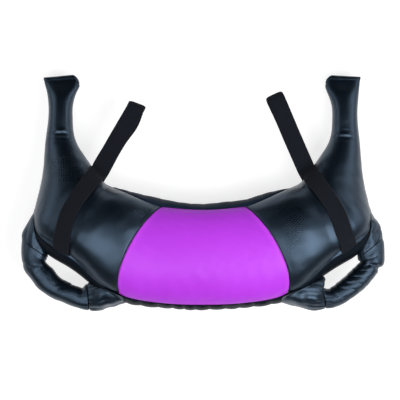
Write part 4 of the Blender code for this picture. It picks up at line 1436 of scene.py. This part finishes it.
def strap_grid(shell, surface, side, front, webbing, detail, shares):
    """Middle layer of a sewn strap: rows along it, and points across it laid on the cover."""
    rows = 66
    stations, angles = strap_line(shell, side, front, rows)
    centres = shell.points(stations, angles)
    normals = shell.normals(stations, angles)
    ways = unit(np.gradient(centres, axis=0))
    squares = unit(np.cross(normals, ways))
    edge_ways = shell.along_ways(stations, angles)
    edge_ways = edge_ways * np.sign((edge_ways * squares).sum(-1, keepdims=True))
    near_edge = eased(1 - (1 - np.linspace(0, 1, rows + 1)) / STRAP_EDGE_SHARE)[:, None]
    squares = unit(squares * (1 - near_edge) + edge_ways * near_edge)
    widths = webbing.width * (1 - near_edge) + LOOP_FOLD_LENGTH * near_edge
    grid = []
    for centre, square, normal, width in zip(centres, squares, normals, widths):
        line = centre + np.outer(shares * width / 2, square)
        heights = []
        for spot in line:
            hit, _, _, _ = surface.find_nearest(Vector(spot))
            heights.append(float(np.dot(np.array(hit) - spot, normal)))
        heights = np.array(heights)
        ends = heights[0] + (heights[-1] - heights[0]) * (shares + 1) / 2
        bow = max(heights[len(heights) // 2], (heights[0] + heights[-1]) / 2)
        bow = bow - (heights[0] + heights[-1]) / 2
        rise = np.maximum(ends + bow * (1 - shares**2), heights)
        grid.append(line + np.outer(rise + webbing.gap + webbing.thickness / 2, normal))
    grid = np.array(grid)
    for _ in range(2):
        grid[1:-1] = (grid[:-2] + 2 * grid[1:-1] + grid[2:]) / 4
    pressed = detail.strap_press * press_share(np.linspace(0, 1, rows + 1))
    tucked_in = 3.2 * MM * hill(np.arange(rows + 1), 2.2)
    grid = grid - normals[:, None] * (pressed + tucked_in)[:, None, None]
    grid[..., 2] = np.maximum(grid[..., 2], 0.85 * webbing.thickness)
    return grid, normals


def loop_frame(side, front_end):
    """Fold line of a loop: its middle, its direction, the way out and the way the loop lies."""
    fold_way = unit((front_end[-1] - front_end[0]) * np.array([1, 1, 0]))
    lean = math.radians(LOOP_LEAN[side])
    inward = 1 if side == "left" else -1
    lie = np.array([inward * math.sin(lean), math.cos(lean), 0.0])
    out_way = np.array([fold_way[1], -fold_way[0], 0.0])
    if np.dot(out_way, lie) < 0:
        out_way = -out_way
    outward, upward = LOOP_FOLD_SHIFT[side]
    middle = joint_place(f"loop_{side}_swing") + np.array([-inward * outward, upward, 0.0])
    return middle, fold_way, out_way, lie


def loop_grid(side, middle, fold_way, lie, webbing, shares):
    """Middle layer of the free loop, from its root out to the tip and back below."""
    up = np.array([0.0, 0.0, 1.0])
    square = np.cross(lie, up)
    if np.dot(square, fold_way) < 0:
        square = -square
    reach = webbing.loop_length - webbing.loop_tip_radius
    out = np.linspace(0.03, 1, 46)
    opening = webbing.loop_tip_radius - webbing.loop_roll_radius
    half = webbing.loop_roll_radius + opening * eased(out) - webbing.thickness / 2
    turn = np.linspace(math.pi / 2, -math.pi / 2, 22)[1:-1]
    tip_radius = half[-1]
    top = np.stack([out * reach, half], axis=1)
    tip = np.stack([reach + np.cos(turn) * tip_radius, np.sin(turn) * tip_radius], axis=1)
    path = np.concatenate([top, tip, top[::-1] * [1, -1]])
    twist = math.radians(LOOP_TWIST[side])
    left_cut, right_cut = LOOP_TIP_SLANT[side]
    rightward = np.sign(square[0])
    edge = (1 + rightward * shares) / 2
    cut = left_cut + (right_cut - left_cut) * edge
    grid = []
    for distance, height in path:
        along = np.clip(distance / webbing.loop_length, 0, 1)
        squared = eased(min(1.0, along / LOOP_SQUARED_AT))
        width = fold_way * LOOP_FOLD_LENGTH * (1 - squared) + square * webbing.width * squared
        angle = twist * eased(along)
        below = height < 0
        sideways = rightward * LOOP_SLIP[side] * hill(along - 0.72, 0.2) * below
        wave = 0.8 * MM * math.sin(along * 9 + (2 if below else 0)) * math.sin(math.pi * along)
        offsets = np.outer(shares / 2, width) + up * (height + wave)
        across, above = offsets @ square + sideways, offsets @ up
        spun = np.outer(across * math.cos(angle) - above * math.sin(angle), square)
        spun += np.outer(across * math.sin(angle) + above * math.cos(angle), up)
        # The sixth power leaves the tip's middle as it is
        corner = LOOP_CORNER * shares**6 * hill(1 - along, 0.09)
        reach_out = distance + offsets @ lie - cut * along**3 - corner
        grid.append(middle + np.outer(reach_out, lie) + spun)
    return np.array(grid)


def fillet(first_rows, last_rows):
    """Rows that lead smoothly from the end of one grid to the start of another."""
    cells = 9
    start, start_way = first_rows[-1], first_rows[-1] - first_rows[-2]
    end, end_way = last_rows[0], last_rows[1] - last_rows[0]
    gap = np.linalg.norm(end - start, axis=-1, keepdims=True)
    start_way, end_way = unit(start_way) * gap, unit(end_way) * gap
    rows = []
    for t in np.linspace(0, 1, cells + 2)[1:-1]:
        rows.append(
            (2 * t**3 - 3 * t**2 + 1) * start
            + (t**3 - 2 * t**2 + t) * start_way
            + (3 * t**2 - 2 * t**3) * end
            + (t**3 - t**2) * end_way
        )
    return np.array(rows)


def webbing_band(shell, surface, side, webbing, detail):
    """One length of webbing: over the front, out as the loop, back and over the back."""
    edge = np.array([0, 0.04, 0.12, 0.28])
    shares = np.concatenate([edge - 1, np.linspace(-0.55, 0.55, 7), 1 - edge[::-1]])
    front, front_normals = strap_grid(shell, surface, side, True, webbing, detail, shares)
    back, back_normals = strap_grid(shell, surface, side, False, webbing, detail, shares)
    middle, fold_way, out_way, lie = loop_frame(side, front[-1])
    if np.dot(front[-1, -1] - front[-1, 0], back[-1, -1] - back[-1, 0]) < 0:
        back = back[:, ::-1]
    if np.dot(front[-1, -1] - front[-1, 0], fold_way) < 0:
        fold_way = -fold_way
    # The rows next to the fold make way for the fillets
    loop = loop_grid(side, middle, fold_way, lie, webbing, shares)[3:-3]
    front, front_normals = front[:-4], front_normals[:-4]
    back, back_normals = back[:-4][::-1], back_normals[:-4]
    grid = np.concatenate([front, fillet(front, loop), loop, fillet(loop, back), back])
    round_edge = np.array([0.25, 0.75, 0.95, 1.0])
    profile = np.concatenate([round_edge, np.ones(7), round_edge[::-1]])
    half = (webbing.thickness / 2 * profile)[None, :, None]
    outer, cloth = grid + grid_normals(grid) * half, cloth_places(grid)
    piece = add_layer(f"webbing_{side}", outer, 2 * half, cloth, material("ribbed_webbing"))
    nodes = [f"strap_{part}_{side}" for part in ("front", "back", "loop")]
    finish_piece(piece, "webbing", *nodes, body=None)
    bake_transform(piece)
    rings = []
    for face, face_normals in ((front, front_normals), (back[::-1], back_normals)):
        for column in STITCHED_COLUMNS:
            line = face[3:-2, column] + face_normals[3:-2] * webbing.thickness / 2
            ways = unit(np.gradient(line, axis=0))
            rings += stitch_row(line, ways, face_normals[3:-2], webbing.stitch_pitch)
    add_stitches(f"strap_stitches_{side}", rings, "shell")


# Side handles


def handle_rings(handle, side, first, last, count, cells):
    """Rings round a handle from one of its rows to another: points, middles and ways across."""
    rows = through_rows(np.array(HANDLE_ROWS[side], float) * MM, count, first, last)
    way = np.array([-1 if side == "left" else 1, 1])
    outer, inner = rows[:, :2] * way, rows[:, 2:4] * way
    middles = np.concatenate([(outer + inner) / 2, np.full((count, 1), handle.height)], axis=1)
    across = np.concatenate([(outer - inner) / 2, np.zeros((count, 1))], axis=1)
    up = rows[:, 4:] * np.array([0, 0, handle.fullness])
    turns = np.linspace(0, 2 * math.pi, cells + 1)
    cosine, sine = np.cos(turns)[None, :, None], np.sin(turns)[None, :, None]
    cosine = np.sign(cosine) * np.abs(cosine) ** 0.94
    return middles[:, None] + cosine * across[:, None] + sine * up[:, None], middles, turns


def outward_normals(rings, middles):
    """Normals of rings, pointing away from their middles."""
    normals = grid_normals(rings, ring=True)
    return normals * np.sign((normals * (rings - middles[:, None])).sum())


def gathers(points, distance, inward_side, handle, side):
    """Ruched cover: lobes with sharp valleys right across the handle, more of them and deeper
    on the side of the hand hole."""
    style = HANDLE_GATHERS[side]
    seed = style["seed"]
    slow = points * np.array([1, 1, 0.4])
    wander = 0.28 * lumps(slow, 70 * MM, seed) + 0.07 * lumps(slow, 26 * MM, seed + 1)
    phase = distance / (handle.gather_pitch * style["pitch"]) + wander
    lobe = np.abs(np.sin(math.pi * phase)) ** 0.75 - 0.7
    between = np.abs(np.sin(math.pi * (2 * phase + 0.3))) ** 0.85 - 0.65
    strong = 0.5 + 0.5 * eased(0.5 + 0.5 * lumps(points, 38 * MM, seed + 2))
    toward = eased(0.5 + 0.55 * inward_side)
    height = lobe * (0.5 + 0.5 * toward) + 0.4 * between * toward
    return handle.gather_depth * style["depth"] * strong * height


def pleats(turns, from_seam, handle, seed, reach, count):
    """Pleats along the cover that fade out away from the seam they are gathered into."""
    chance = np.random.default_rng(seed)
    wobble = sum(0.5 * np.sin(k * turns + chance.uniform(0, 2 * math.pi)) for k in (1, 2, 3))
    folds = np.abs(np.sin(count / 2 * turns + wobble)) ** 0.8 - 0.6
    return handle.pleat_depth * folds * np.exp(-from_seam / reach)


def gather_ring(rows_at, distance, inward_side, side):
    """Distance along the handle from its ring of gathers, and the ring's depth."""
    outer, inner, outer_depth, inner_depth = GATHER_RING[side]
    toward = (1 + inward_side) / 2
    ring_at = np.interp(outer + (inner - outer) * toward, rows_at, distance[:, 0])
    depth = outer_depth + (inner_depth - outer_depth) * eased(1.3 * toward)
    return distance - ring_at, depth


def seam_dip(distance, handle):
    """How far a cover sinks towards its seam with a tab, at a distance from the seam."""
    return rolled(distance, handle.seam_roll) + 0.9 * MM * hill(distance, 4 * MM)


def handle_cover(detail, handle, side):
    """The gathered cover round a handle, between its seams with the two tabs."""
    rows, cells = 210, 108
    first, last = UPPER_SEAM_ROW + SEAM_ROW_GAP, LOWER_SEAM_ROW - SEAM_ROW_GAP
    ring, middles, turns = handle_rings(handle, side, first, last, rows, cells)
    normals = outward_normals(ring, middles)
    distance = lengths_along(middles, 0)[:, None]
    from_end = np.minimum(distance, distance[-1] - distance)
    inward_side = -np.cos(turns)[None, :]
    style = HANDLE_GATHERS[side]
    seed, count = style["seed"], handle.pleat_count
    off, deep = gather_ring(np.linspace(first, last, rows), distance, inward_side, side)
    height = gathers(ring, distance, inward_side, handle, side)
    past_ring = style["above"] + (1 - style["above"]) * eased(0.5 + off / (16 * MM))
    height = height * eased(from_end / (10 * MM)) * past_ring
    by_ring = pleats(turns[None, :], np.abs(off), handle, seed, 12 * MM, count)
    height = height + style["ring"] * by_ring
    to_end = distance[-1] - distance
    by_end = pleats(turns[None, :], to_end, handle, seed + 9, 13 * MM, count)
    height = height + style["end"] * by_end
    height = height + 0.6 * MM * lumps(ring, 40 * MM, seed + 4)
    lower = eased((distance / distance[-1] - 0.3) / 0.4)
    sunk = UPPER_SEAM_SUNK + (1 - UPPER_SEAM_SUNK) * lower
    height = height - sunk * seam_dip(from_end, handle)
    height = height - deep * hill(off, 3.2 * MM)
    ring = closed_ring(ring + normals * height[..., None])
    wear = eased(0.5 + height / (2 * MM))
    piece = add_layer(
        f"handle_sleeve_{side}",
        ring,
        detail.wall,
        cloth_places(ring),
        material("black_cover_cloth"),
        wear,
        inward=-np.sign((grid_normals(ring, ring=True) * normals).sum()),
        ring=True,
    )
    finish_piece(
        piece, "black_leatherette", f"handle_cover_{side}", body=f"handle_{side}", fill=0.8
    )


def handle_foam(detail, handle, side):
    """The foam inside a handle, a little pitted on its surface."""
    first, last = UPPER_SEAM_ROW + 0.12, LOWER_SEAM_ROW - 0.12
    ring, middles, _ = handle_rings(handle, side, first, last, 70, 48)
    normals = outward_normals(ring, middles)
    depth = detail.wall + 6 * MM - 0.3 * MM * lumps(ring, 9 * MM, 4)
    ring = ring - normals * depth[..., None]
    foam = add_stuffing(f"handle_foam_{side}", ring, material("pitted_foam"))
    finish_piece(foam, "handle_foam", f"handle_core_{side}", body=f"handle_{side}", fill=0.9)


def handle_tab(surface, handle, side, end):
    """The gathered cover that leads from one end of a handle on to the gusset."""
    if end == "upper":
        first, last = UPPER_SEAM_ROW - SEAM_ROW_GAP, 0
    else:
        first, last = LOWER_SEAM_ROW + SEAM_ROW_GAP, len(HANDLE_ROWS[side]) - 1
    ring, middles, turns = handle_rings(handle, side, first, last, 64, 108)
    normals = outward_normals(ring, middles)
    distance = lengths_along(middles, 0)[:, None]
    seed = TAB_SEED[side][end]
    deep, count, sunk = TAB_PLEATS[end]
    height = deep * pleats(turns[None, :], distance, handle, seed, 34 * MM, count)
    height = height + 0.7 * MM * lumps(ring, 24 * MM, seed + 2) * eased(distance / (10 * MM))
    if (side, end) == ("right", "upper"):
        # Here the handle's gathers run on over the tab
        ruched = gathers(ring, distance, -np.cos(turns)[None, :], handle, side)
        height = height + 0.8 * ruched * eased(distance / (10 * MM))
    height = height - sunk * seam_dip(distance, handle)
    ring = ring + normals * height[..., None]
    sunk_in = 0.8 * MM
    for spot in ring.reshape(-1, 3):
        hit, normal, _, _ = surface.find_nearest(Vector(spot))
        if (Vector(spot) - hit).dot(normal) < -sunk_in:
            spot[:] = hit - normal * sunk_in
    ring = closed_ring(ring)
    wear = eased(0.5 + height / (2 * MM))
    name, cloth = f"handle_tab_{end}_cover_{side}", material("black_cover_cloth")
    faces, places = tube_faces(*ring.shape[:2]), cloth_places(ring)
    piece = add_piece(name, ring, faces, places, cloth, wear)
    node_name = f"handle_tab_{end}_{side}"
    finish_piece(piece, "black_leatherette", node_name, body=None, fill=0.7)
    across = unit(ring[0, 0] - ring[0, ring.shape[1] // 2]) * np.array([1, 1, 0])
    away = np.array([across[1], -across[0], 0.0])
    if np.dot(middles[-1] - middles[0], away) < 0:
        away = -away
    start, end = tuple(middles[0] + away * 24 * MM), tuple(middles[0] + away * 1.5 * MM)
    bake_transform(piece)


# Filling


def filled_rings(shell, stations, depth, drawn_in):
    """Rings at a depth below the cover, drawn in by a share of their size."""
    turns = np.linspace(0, 2 * math.pi, 73)
    rings = shell.points(stations[:, None], turns, depth)
    middle = shell.middle(stations)[:, None]
    left = 1 - drawn_in(stations[:, None], turns[None, :])
    return middle + (rings - middle) * left[..., None]


def rounded_ends(length_share, reach):
    """How much a sleeve draws in towards its tied ends."""
    from_end = np.minimum(length_share, 1 - length_share)
    near = np.clip(1 - from_end / reach, 0, 1)
    return 1 - np.sqrt(np.clip(1 - near**2, 0.02, 1))


# Operators


class PieceOperator(bpy.types.Operator):
    """A step of building the bag"""

    bl_options = {"REGISTER", "UNDO"}


class BAG_OT_side_covers(PieceOperator):
    """Sew the side covers that reach up the horns"""

    bl_idname = "bag.side_covers"
    bl_label = "Side covers and horns"

    BENT_SHARE = 0.9  # half the length over which a cover bends, as a share of the set one

    def execute(self, context):
        shell, detail, webbing, _ = settings(context)
        for side in SIDES:
            for front in (True, False):
                piece = side_cover(shell, detail, webbing, side, front)
                nodes = [f"{face_name(front)}_side_panel_{side}"]
                nodes += [f"horn_cover_{side}", f"horn_bend_{side}"] if front else []
                finish_piece(piece, "black_leatherette", *nodes, body=None, fill=0.95)
                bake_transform(piece)
        return {"FINISHED"}


class BAG_OT_centre_panels(PieceOperator):
    """Sew the purple centre panel and its twin on the back"""

    bl_idname = "bag.centre_panels"
    bl_label = "Centre panels"

    def execute(self, context):
        shell, detail, _, _ = settings(context)
        for front in (True, False):
            centre_panel(shell, detail, front)
        return {"FINISHED"}


class BAG_OT_gussets(PieceOperator):
    """Sew the puckered bands between the front and the back"""

    bl_idname = "bag.gussets"
    bl_label = "Gussets"

    def execute(self, context):
        shell, detail, _, _ = settings(context)
        for outer in (True, False):
            gusset(shell, detail, outer)
        return {"FINISHED"}


class BAG_OT_horn_ends(PieceOperator):
    """Bind the flat ends of the horns with a folded strip and a row of stitches"""

    bl_idname = "bag.horn_ends"
    bl_label = "Horn ends"

    def execute(self, context):
        shell, _, webbing, _ = settings(context)
        for side in SIDES:
            self.binding(shell, side)
            self.stitches(shell, side, webbing.stitch_pitch)
        return {"FINISHED"}

    def binding(self, shell, side):
        """The strip, a little proud of the cover, with a rounded edge beyond the horn's end."""
        turns = np.linspace(0, 2 * math.pi, 97)
        stations = on_side(side, np.array([0.40, 0.38, 0.33, 0.24, 0.12, 0.0]))
        proud = np.array([-1.2, 0.2, 0.7, 0.8, 0.8, 0.8])[:, None] * MM
        rings = shell.points(stations[:, None], turns, 0.6 * MM)
        rings[..., 2] += (proud + 0.6 * MM) * np.sin(turns) + 0.6 * MM
        last = rings[-1]
        middle = shell.middle(stations[-1:])
        way = unit(shell.middle(stations[-1:]) - shell.middle(stations[:1])) * [1, 1, 0]
        beyond = []
        for reach, flat, narrow in ((0.9, 0.8, 0.998), (1.7, 0.5, 0.99), (2.2, 0.2, 0.975)):
            shrink = np.array([narrow, narrow, flat])
            beyond.append(middle + (last - middle) * shrink + way * reach * MM)
        rings = np.concatenate([rings, beyond])
        rings = rings + 0.25 * MM * lumps(rings, 14 * MM, 17)[..., None] * [0, 0, 1]
        name, cloth = f"horn_end_binding_{side}", material("black_cover_cloth")
        piece = add_stuffing(name, rings, cloth)
        finish_piece(piece, "black_leatherette", f"horn_end_hem_{side}", body=f"horn_{side}")

    def stitches(self, shell, side, pitch):
        turns = np.linspace(0.16, math.pi - 0.16, 90)
        station = on_side(side, 0.2)
        line = shell.points(station, turns, -0.8 * MM)
        normals = shell.normals(station, turns)
        normals = normals * np.sign(normals[:, 2:].sum())
        ways = unit(np.gradient(line, axis=0))
        rings = stitch_row(line, ways, normals, pitch)
        add_stitches(f"horn_end_stitches_{side}", rings, f"horn_{side}")


class BAG_OT_webbing(PieceOperator):
    """Lay the webbing over both faces and out as a free loop, and stitch it down"""

    bl_idname = "bag.webbing"
    bl_label = "Webbing and loops"

    def execute(self, context):
        shell, detail, webbing, _ = settings(context)
        surface = shell.surface()
        for side in SIDES:
            webbing_band(shell, surface, side, webbing, detail)
        return {"FINISHED"}


class BAG_OT_handles(PieceOperator):
    """Gather the covers over the padded side handles and their tabs"""

    bl_idname = "bag.handles"
    bl_label = "Side handles"

    def execute(self, context):
        shell, detail, _, handle = settings(context)
        surface = shell.surface()
        for side in SIDES:
            handle_cover(detail, handle, side)
            handle_foam(detail, handle, side)
            for end in ("upper", "lower"):
                handle_tab(surface, handle, side, end)
        return {"FINISHED"}


class BAG_OT_filling(PieceOperator):
    """Fill the bag: wadding behind each face, sand sleeves inside it, rolls in the horns"""

    bl_idname = "bag.filling"
    bl_label = "Filling"

    # Depths below the cover where the wadding and the sand sleeves begin, and the wadding's wall
    COVER_DEPTH = 6.5 * MM
    SLEEVE_DEPTH = 21.5 * MM
    PADDING_WALL = 11.5 * MM

    def execute(self, context):
        shell, detail, webbing, _ = settings(context)
        for front in (True, False):
            self.wadding(shell, webbing, detail, front)
        joints = [SIDE_FILLING_END, SAND_JOINT, LAST_STATION - SAND_JOINT]
        joints.append(LAST_STATION - SIDE_FILLING_END)
        for name, first, last in zip(("left", "centre", "right"), joints, joints[1:]):
            self.sand_sleeve(shell, name, first, last)
        for side in SIDES:
            self.horn_rolls(shell, side)
        return {"FINISHED"}

    def wadding(self, shell, webbing, detail, front):
        """Loose filling right behind one face, pressed in where the straps press the cover."""
        first, margin = SIDE_FILLING_END + 0.1, 0.02
        stations = np.linspace(first, LAST_STATION - first, 150)
        angles = np.linspace(margin, math.pi - margin, 70)
        angles = angles if front else -angles
        points = shell.points(stations[:, None], angles, self.COVER_DEPTH)
        normals = grid_normals(points) * (1 if front else -1)
        valleys = [strap_valley(shell, points, s, front, webbing, detail)[0] for s in SIDES]
        depth = 0.5 * MM * (1 + lumps(points, 26 * MM, 61)) + 1.1 * sum(valleys)
        points = points - normals * depth[..., None]
        points[..., 2] = np.maximum(points[..., 2], self.COVER_DEPTH)
        wall = self.PADDING_WALL - 0.8 * depth
        name = face_name(front)
        piece = add_layer(
            f"wadding_{name}",
            points,
            wall[..., None],
            cloth_places(points),
            material("loose_wadding"),
            inward=-1 if front else 1,
        )
        finish_piece(piece, "textile_filling", f"padding_{name}", fill=0.7)

    def sand_sleeve(self, shell, name, first, last):
        """A sleeve filled with sand, rounded and puckered where its ends are tied."""
        stations = np.linspace(first + 0.02, last - 0.02, 70)
        share = np.linspace(0, 1, 70)[:, None]

        def drawn_in(_, turns):
            tied = 0.25 * np.exp(-np.minimum(share, 1 - share) / 0.03) * np.cos(9 * turns)
            return 0.35 * rounded_ends(share, 0.09) + 0.15 * np.abs(tied)

        rings = filled_rings(shell, stations, self.SLEEVE_DEPTH, drawn_in)
        piece = add_stuffing(f"sand_tube_{name}", rings, material("sleeve_canvas"))
        finish_piece(piece, "sand_sleeve", f"sand_sleeve_{name}", fill=0.95)

    def horn_rolls(self, shell, side):
        """Rolled-up wadding in a horn, on either side of its bend."""
        spans = {
            f"horn_filling_{side}": (HORN_FILLING_START, BEND_STATION - 0.5, f"horn_{side}"),
            f"horn_root_filling_{side}": (BEND_STATION + 0.5, SIDE_FILLING_END - 0.02, "shell"),
        }

        def rolled_up(stations, turns):
            wrap = np.mod(turns / (2 * math.pi) + 0.04 * stations, 1.0)
            slim = 0.34 * eased((3.6 - from_horn_tip(stations)) / 2.8)
            return 0.03 + slim + 0.05 * hill(wrap - 0.5, 0.035)

        for node_name, (first, last, body) in spans.items():
            stations = on_side(side, np.linspace(first, last, 50))
            rings = filled_rings(shell, stations, self.COVER_DEPTH, rolled_up)
            name = node_name.replace("filling", "wadding")
            piece = add_stuffing(name, rings, material("loose_wadding"))
            finish_piece(piece, "textile_filling", node_name, body=body, fill=0.85)


class BAG_OT_stage(PieceOperator):
    """Lay the plain floor and set up the lamps and the camera"""

    bl_idname = "bag.stage"
    bl_label = "Floor, lamps and camera"

    LOOK_AT = Vector((-4.2 * MM, 95.3 * MM, 0.0))

    def execute(self, context):
        self.floor(context)
        self.sky(context)
        studio = context.scene.bag_studio
        for name, (tilt_x, tilt_y, share, width, height) in LAMPS.items():
            way = Vector((math.tan(math.radians(tilt_x)), math.tan(math.radians(tilt_y)), 1.0))
            place = way.normalized() * studio.lamp_distance + self.LOOK_AT
            power = studio.main_power if "main" in name else studio.side_power
            self.lamp(context, name, place, power * share, width, height)
        self.camera(context)
        context.scene.view_settings.view_transform = "Standard"
        return {"FINISHED"}

    def floor(self, context):
        """A pale floor that shows white to the camera and keeps the bag's shadow."""
        half = FLOOR_SIZE / 2
        corners = [(-half, -half), (half, -half), (half, half), (-half, half)]
        mesh = bpy.data.meshes.new("floor")
        mesh.from_pydata([(x, y, -FLOOR_DROP) for x, y in corners], [], [(0, 1, 2, 3)])
        made, tree, shader = blank_material("floor")
        colour, studio = context.scene.bag_colours.floor, context.scene.bag_studio
        grain = noise(tree, 3.0, 2.0)
        base = mixed_colours(tree, grain, shade(colour, 0.995), shade(colour, 1.005))
        tree.links.new(base, shader.inputs["Base Color"])
        shader.inputs["Roughness"].default_value = 0.9
        shader.inputs["Specular IOR Level"].default_value = 0.1
        shader.inputs["Emission Color"].default_value = (1, 1, 1, 1)
        glow = maths(tree, "MULTIPLY", self.seen(tree), studio.floor_glow)
        tree.links.new(glow, shader.inputs["Emission Strength"])
        mesh.materials.append(made)
        floor = bpy.data.objects.new("floor", mesh)
        context.scene.collection.objects.link(floor)

    def seen(self, tree):
        """1 for rays from the camera, and for those that a gloss or a clear piece sends on."""
        rays = node(tree, "ShaderNodeLightPath").outputs
        seen = maths(tree, "MAXIMUM", rays["Is Camera Ray"], rays["Is Glossy Ray"])
        return maths(tree, "MAXIMUM", seen, rays["Is Transmission Ray"])

    def sky(self, context):
        """Even light, stronger from the sides than from above."""
        studio = context.scene.bag_studio
        world = bpy.data.worlds.new("studio")
        context.scene.world = world
        world.use_nodes = True
        tree = world.node_tree
        way = node(tree, "ShaderNodeTexCoord").outputs["Generated"]
        height = node(tree, "ShaderNodeSeparateXYZ", {"Vector": way}).outputs["Z"]
        strength = node(
            tree,
            "ShaderNodeMapRange",
            {
                "Value": height,
                "From Min": 0.0,
                "From Max": 0.35,
                "To Min": studio.sky_low,
                "To Max": studio.sky_high,
            },
            interpolation_type="SMOOTHSTEP",
        ).outputs["Result"]
        background = tree.nodes["Background"]
        background.inputs["Color"].default_value = (1, 1, 1, 1)
        tree.links.new(strength, background.inputs["Strength"])

    def lamp(self, context, name, place, power, width, height):
        """A soft rectangular lamp that points at the middle of the picture."""
        data = bpy.data.lights.new(name, "AREA")
        data.shape = "RECTANGLE"
        data.size, data.size_y = width, height
        data.energy = power
        lamp = bpy.data.objects.new(name, data)
        lamp.location = place
        lamp.rotation_euler = (self.LOOK_AT - place).to_track_quat("-Z", "Y").to_euler()
        context.scene.collection.objects.link(lamp)

    def camera(self, context):
        """A camera straight above, as the photograph was taken."""
        studio = context.scene.bag_studio
        data = bpy.data.cameras.new("camera")
        data.lens = studio.camera_lens
        data.sensor_width = 36.0
        camera = bpy.data.objects.new("camera", data)
        camera.location = (self.LOOK_AT.x, self.LOOK_AT.y, studio.camera_height)
        context.scene.collection.objects.link(camera)
        context.scene.camera = camera


class BAG_PT_builder(bpy.types.Panel):
    """Lists the steps that build the bag, in order"""

    bl_idname = "BAG_PT_builder"
    bl_label = "Bulgarian bag"
    bl_space_type = "VIEW_3D"
    bl_region_type = "UI"
    bl_category = "Bulgarian bag"

    def draw(self, context):
        for operator in OPERATORS:
            self.layout.operator(operator.bl_idname)


OPERATORS = (
    BAG_OT_stage,
    BAG_OT_side_covers,
    BAG_OT_centre_panels,
    BAG_OT_gussets,
    BAG_OT_horn_ends,
    BAG_OT_webbing,
    BAG_OT_handles,
    BAG_OT_filling,
)
GROUPS = {
    "bag_shape": BagShape,
    "bag_cover": CoverDetail,
    "bag_webbing": WebbingShape,
    "bag_handle": HandleShape,
    "bag_colours": BagColours,
    "bag_studio": StudioSettings,
}
CLASSES = (*GROUPS.values(), *OPERATORS, BAG_PT_builder)


def register():
    for made in CLASSES:
        bpy.utils.register_class(made)
    for name, group in GROUPS.items():
        setattr(bpy.types.Scene, name, PointerProperty(type=group))


def unregister():
    for name in GROUPS:
        delattr(bpy.types.Scene, name)
    for made in reversed(CLASSES):
        bpy.utils.unregister_class(made)


def main():
    register()
    bpy.ops.bag.stage()
    bpy.ops.bag.side_covers()
    bpy.ops.bag.centre_panels()
    bpy.ops.bag.gussets()
    bpy.ops.bag.horn_ends()
    bpy.ops.bag.webbing()
    bpy.ops.bag.handles()
    bpy.ops.bag.filling()


if __name__ == "__main__":
    main()
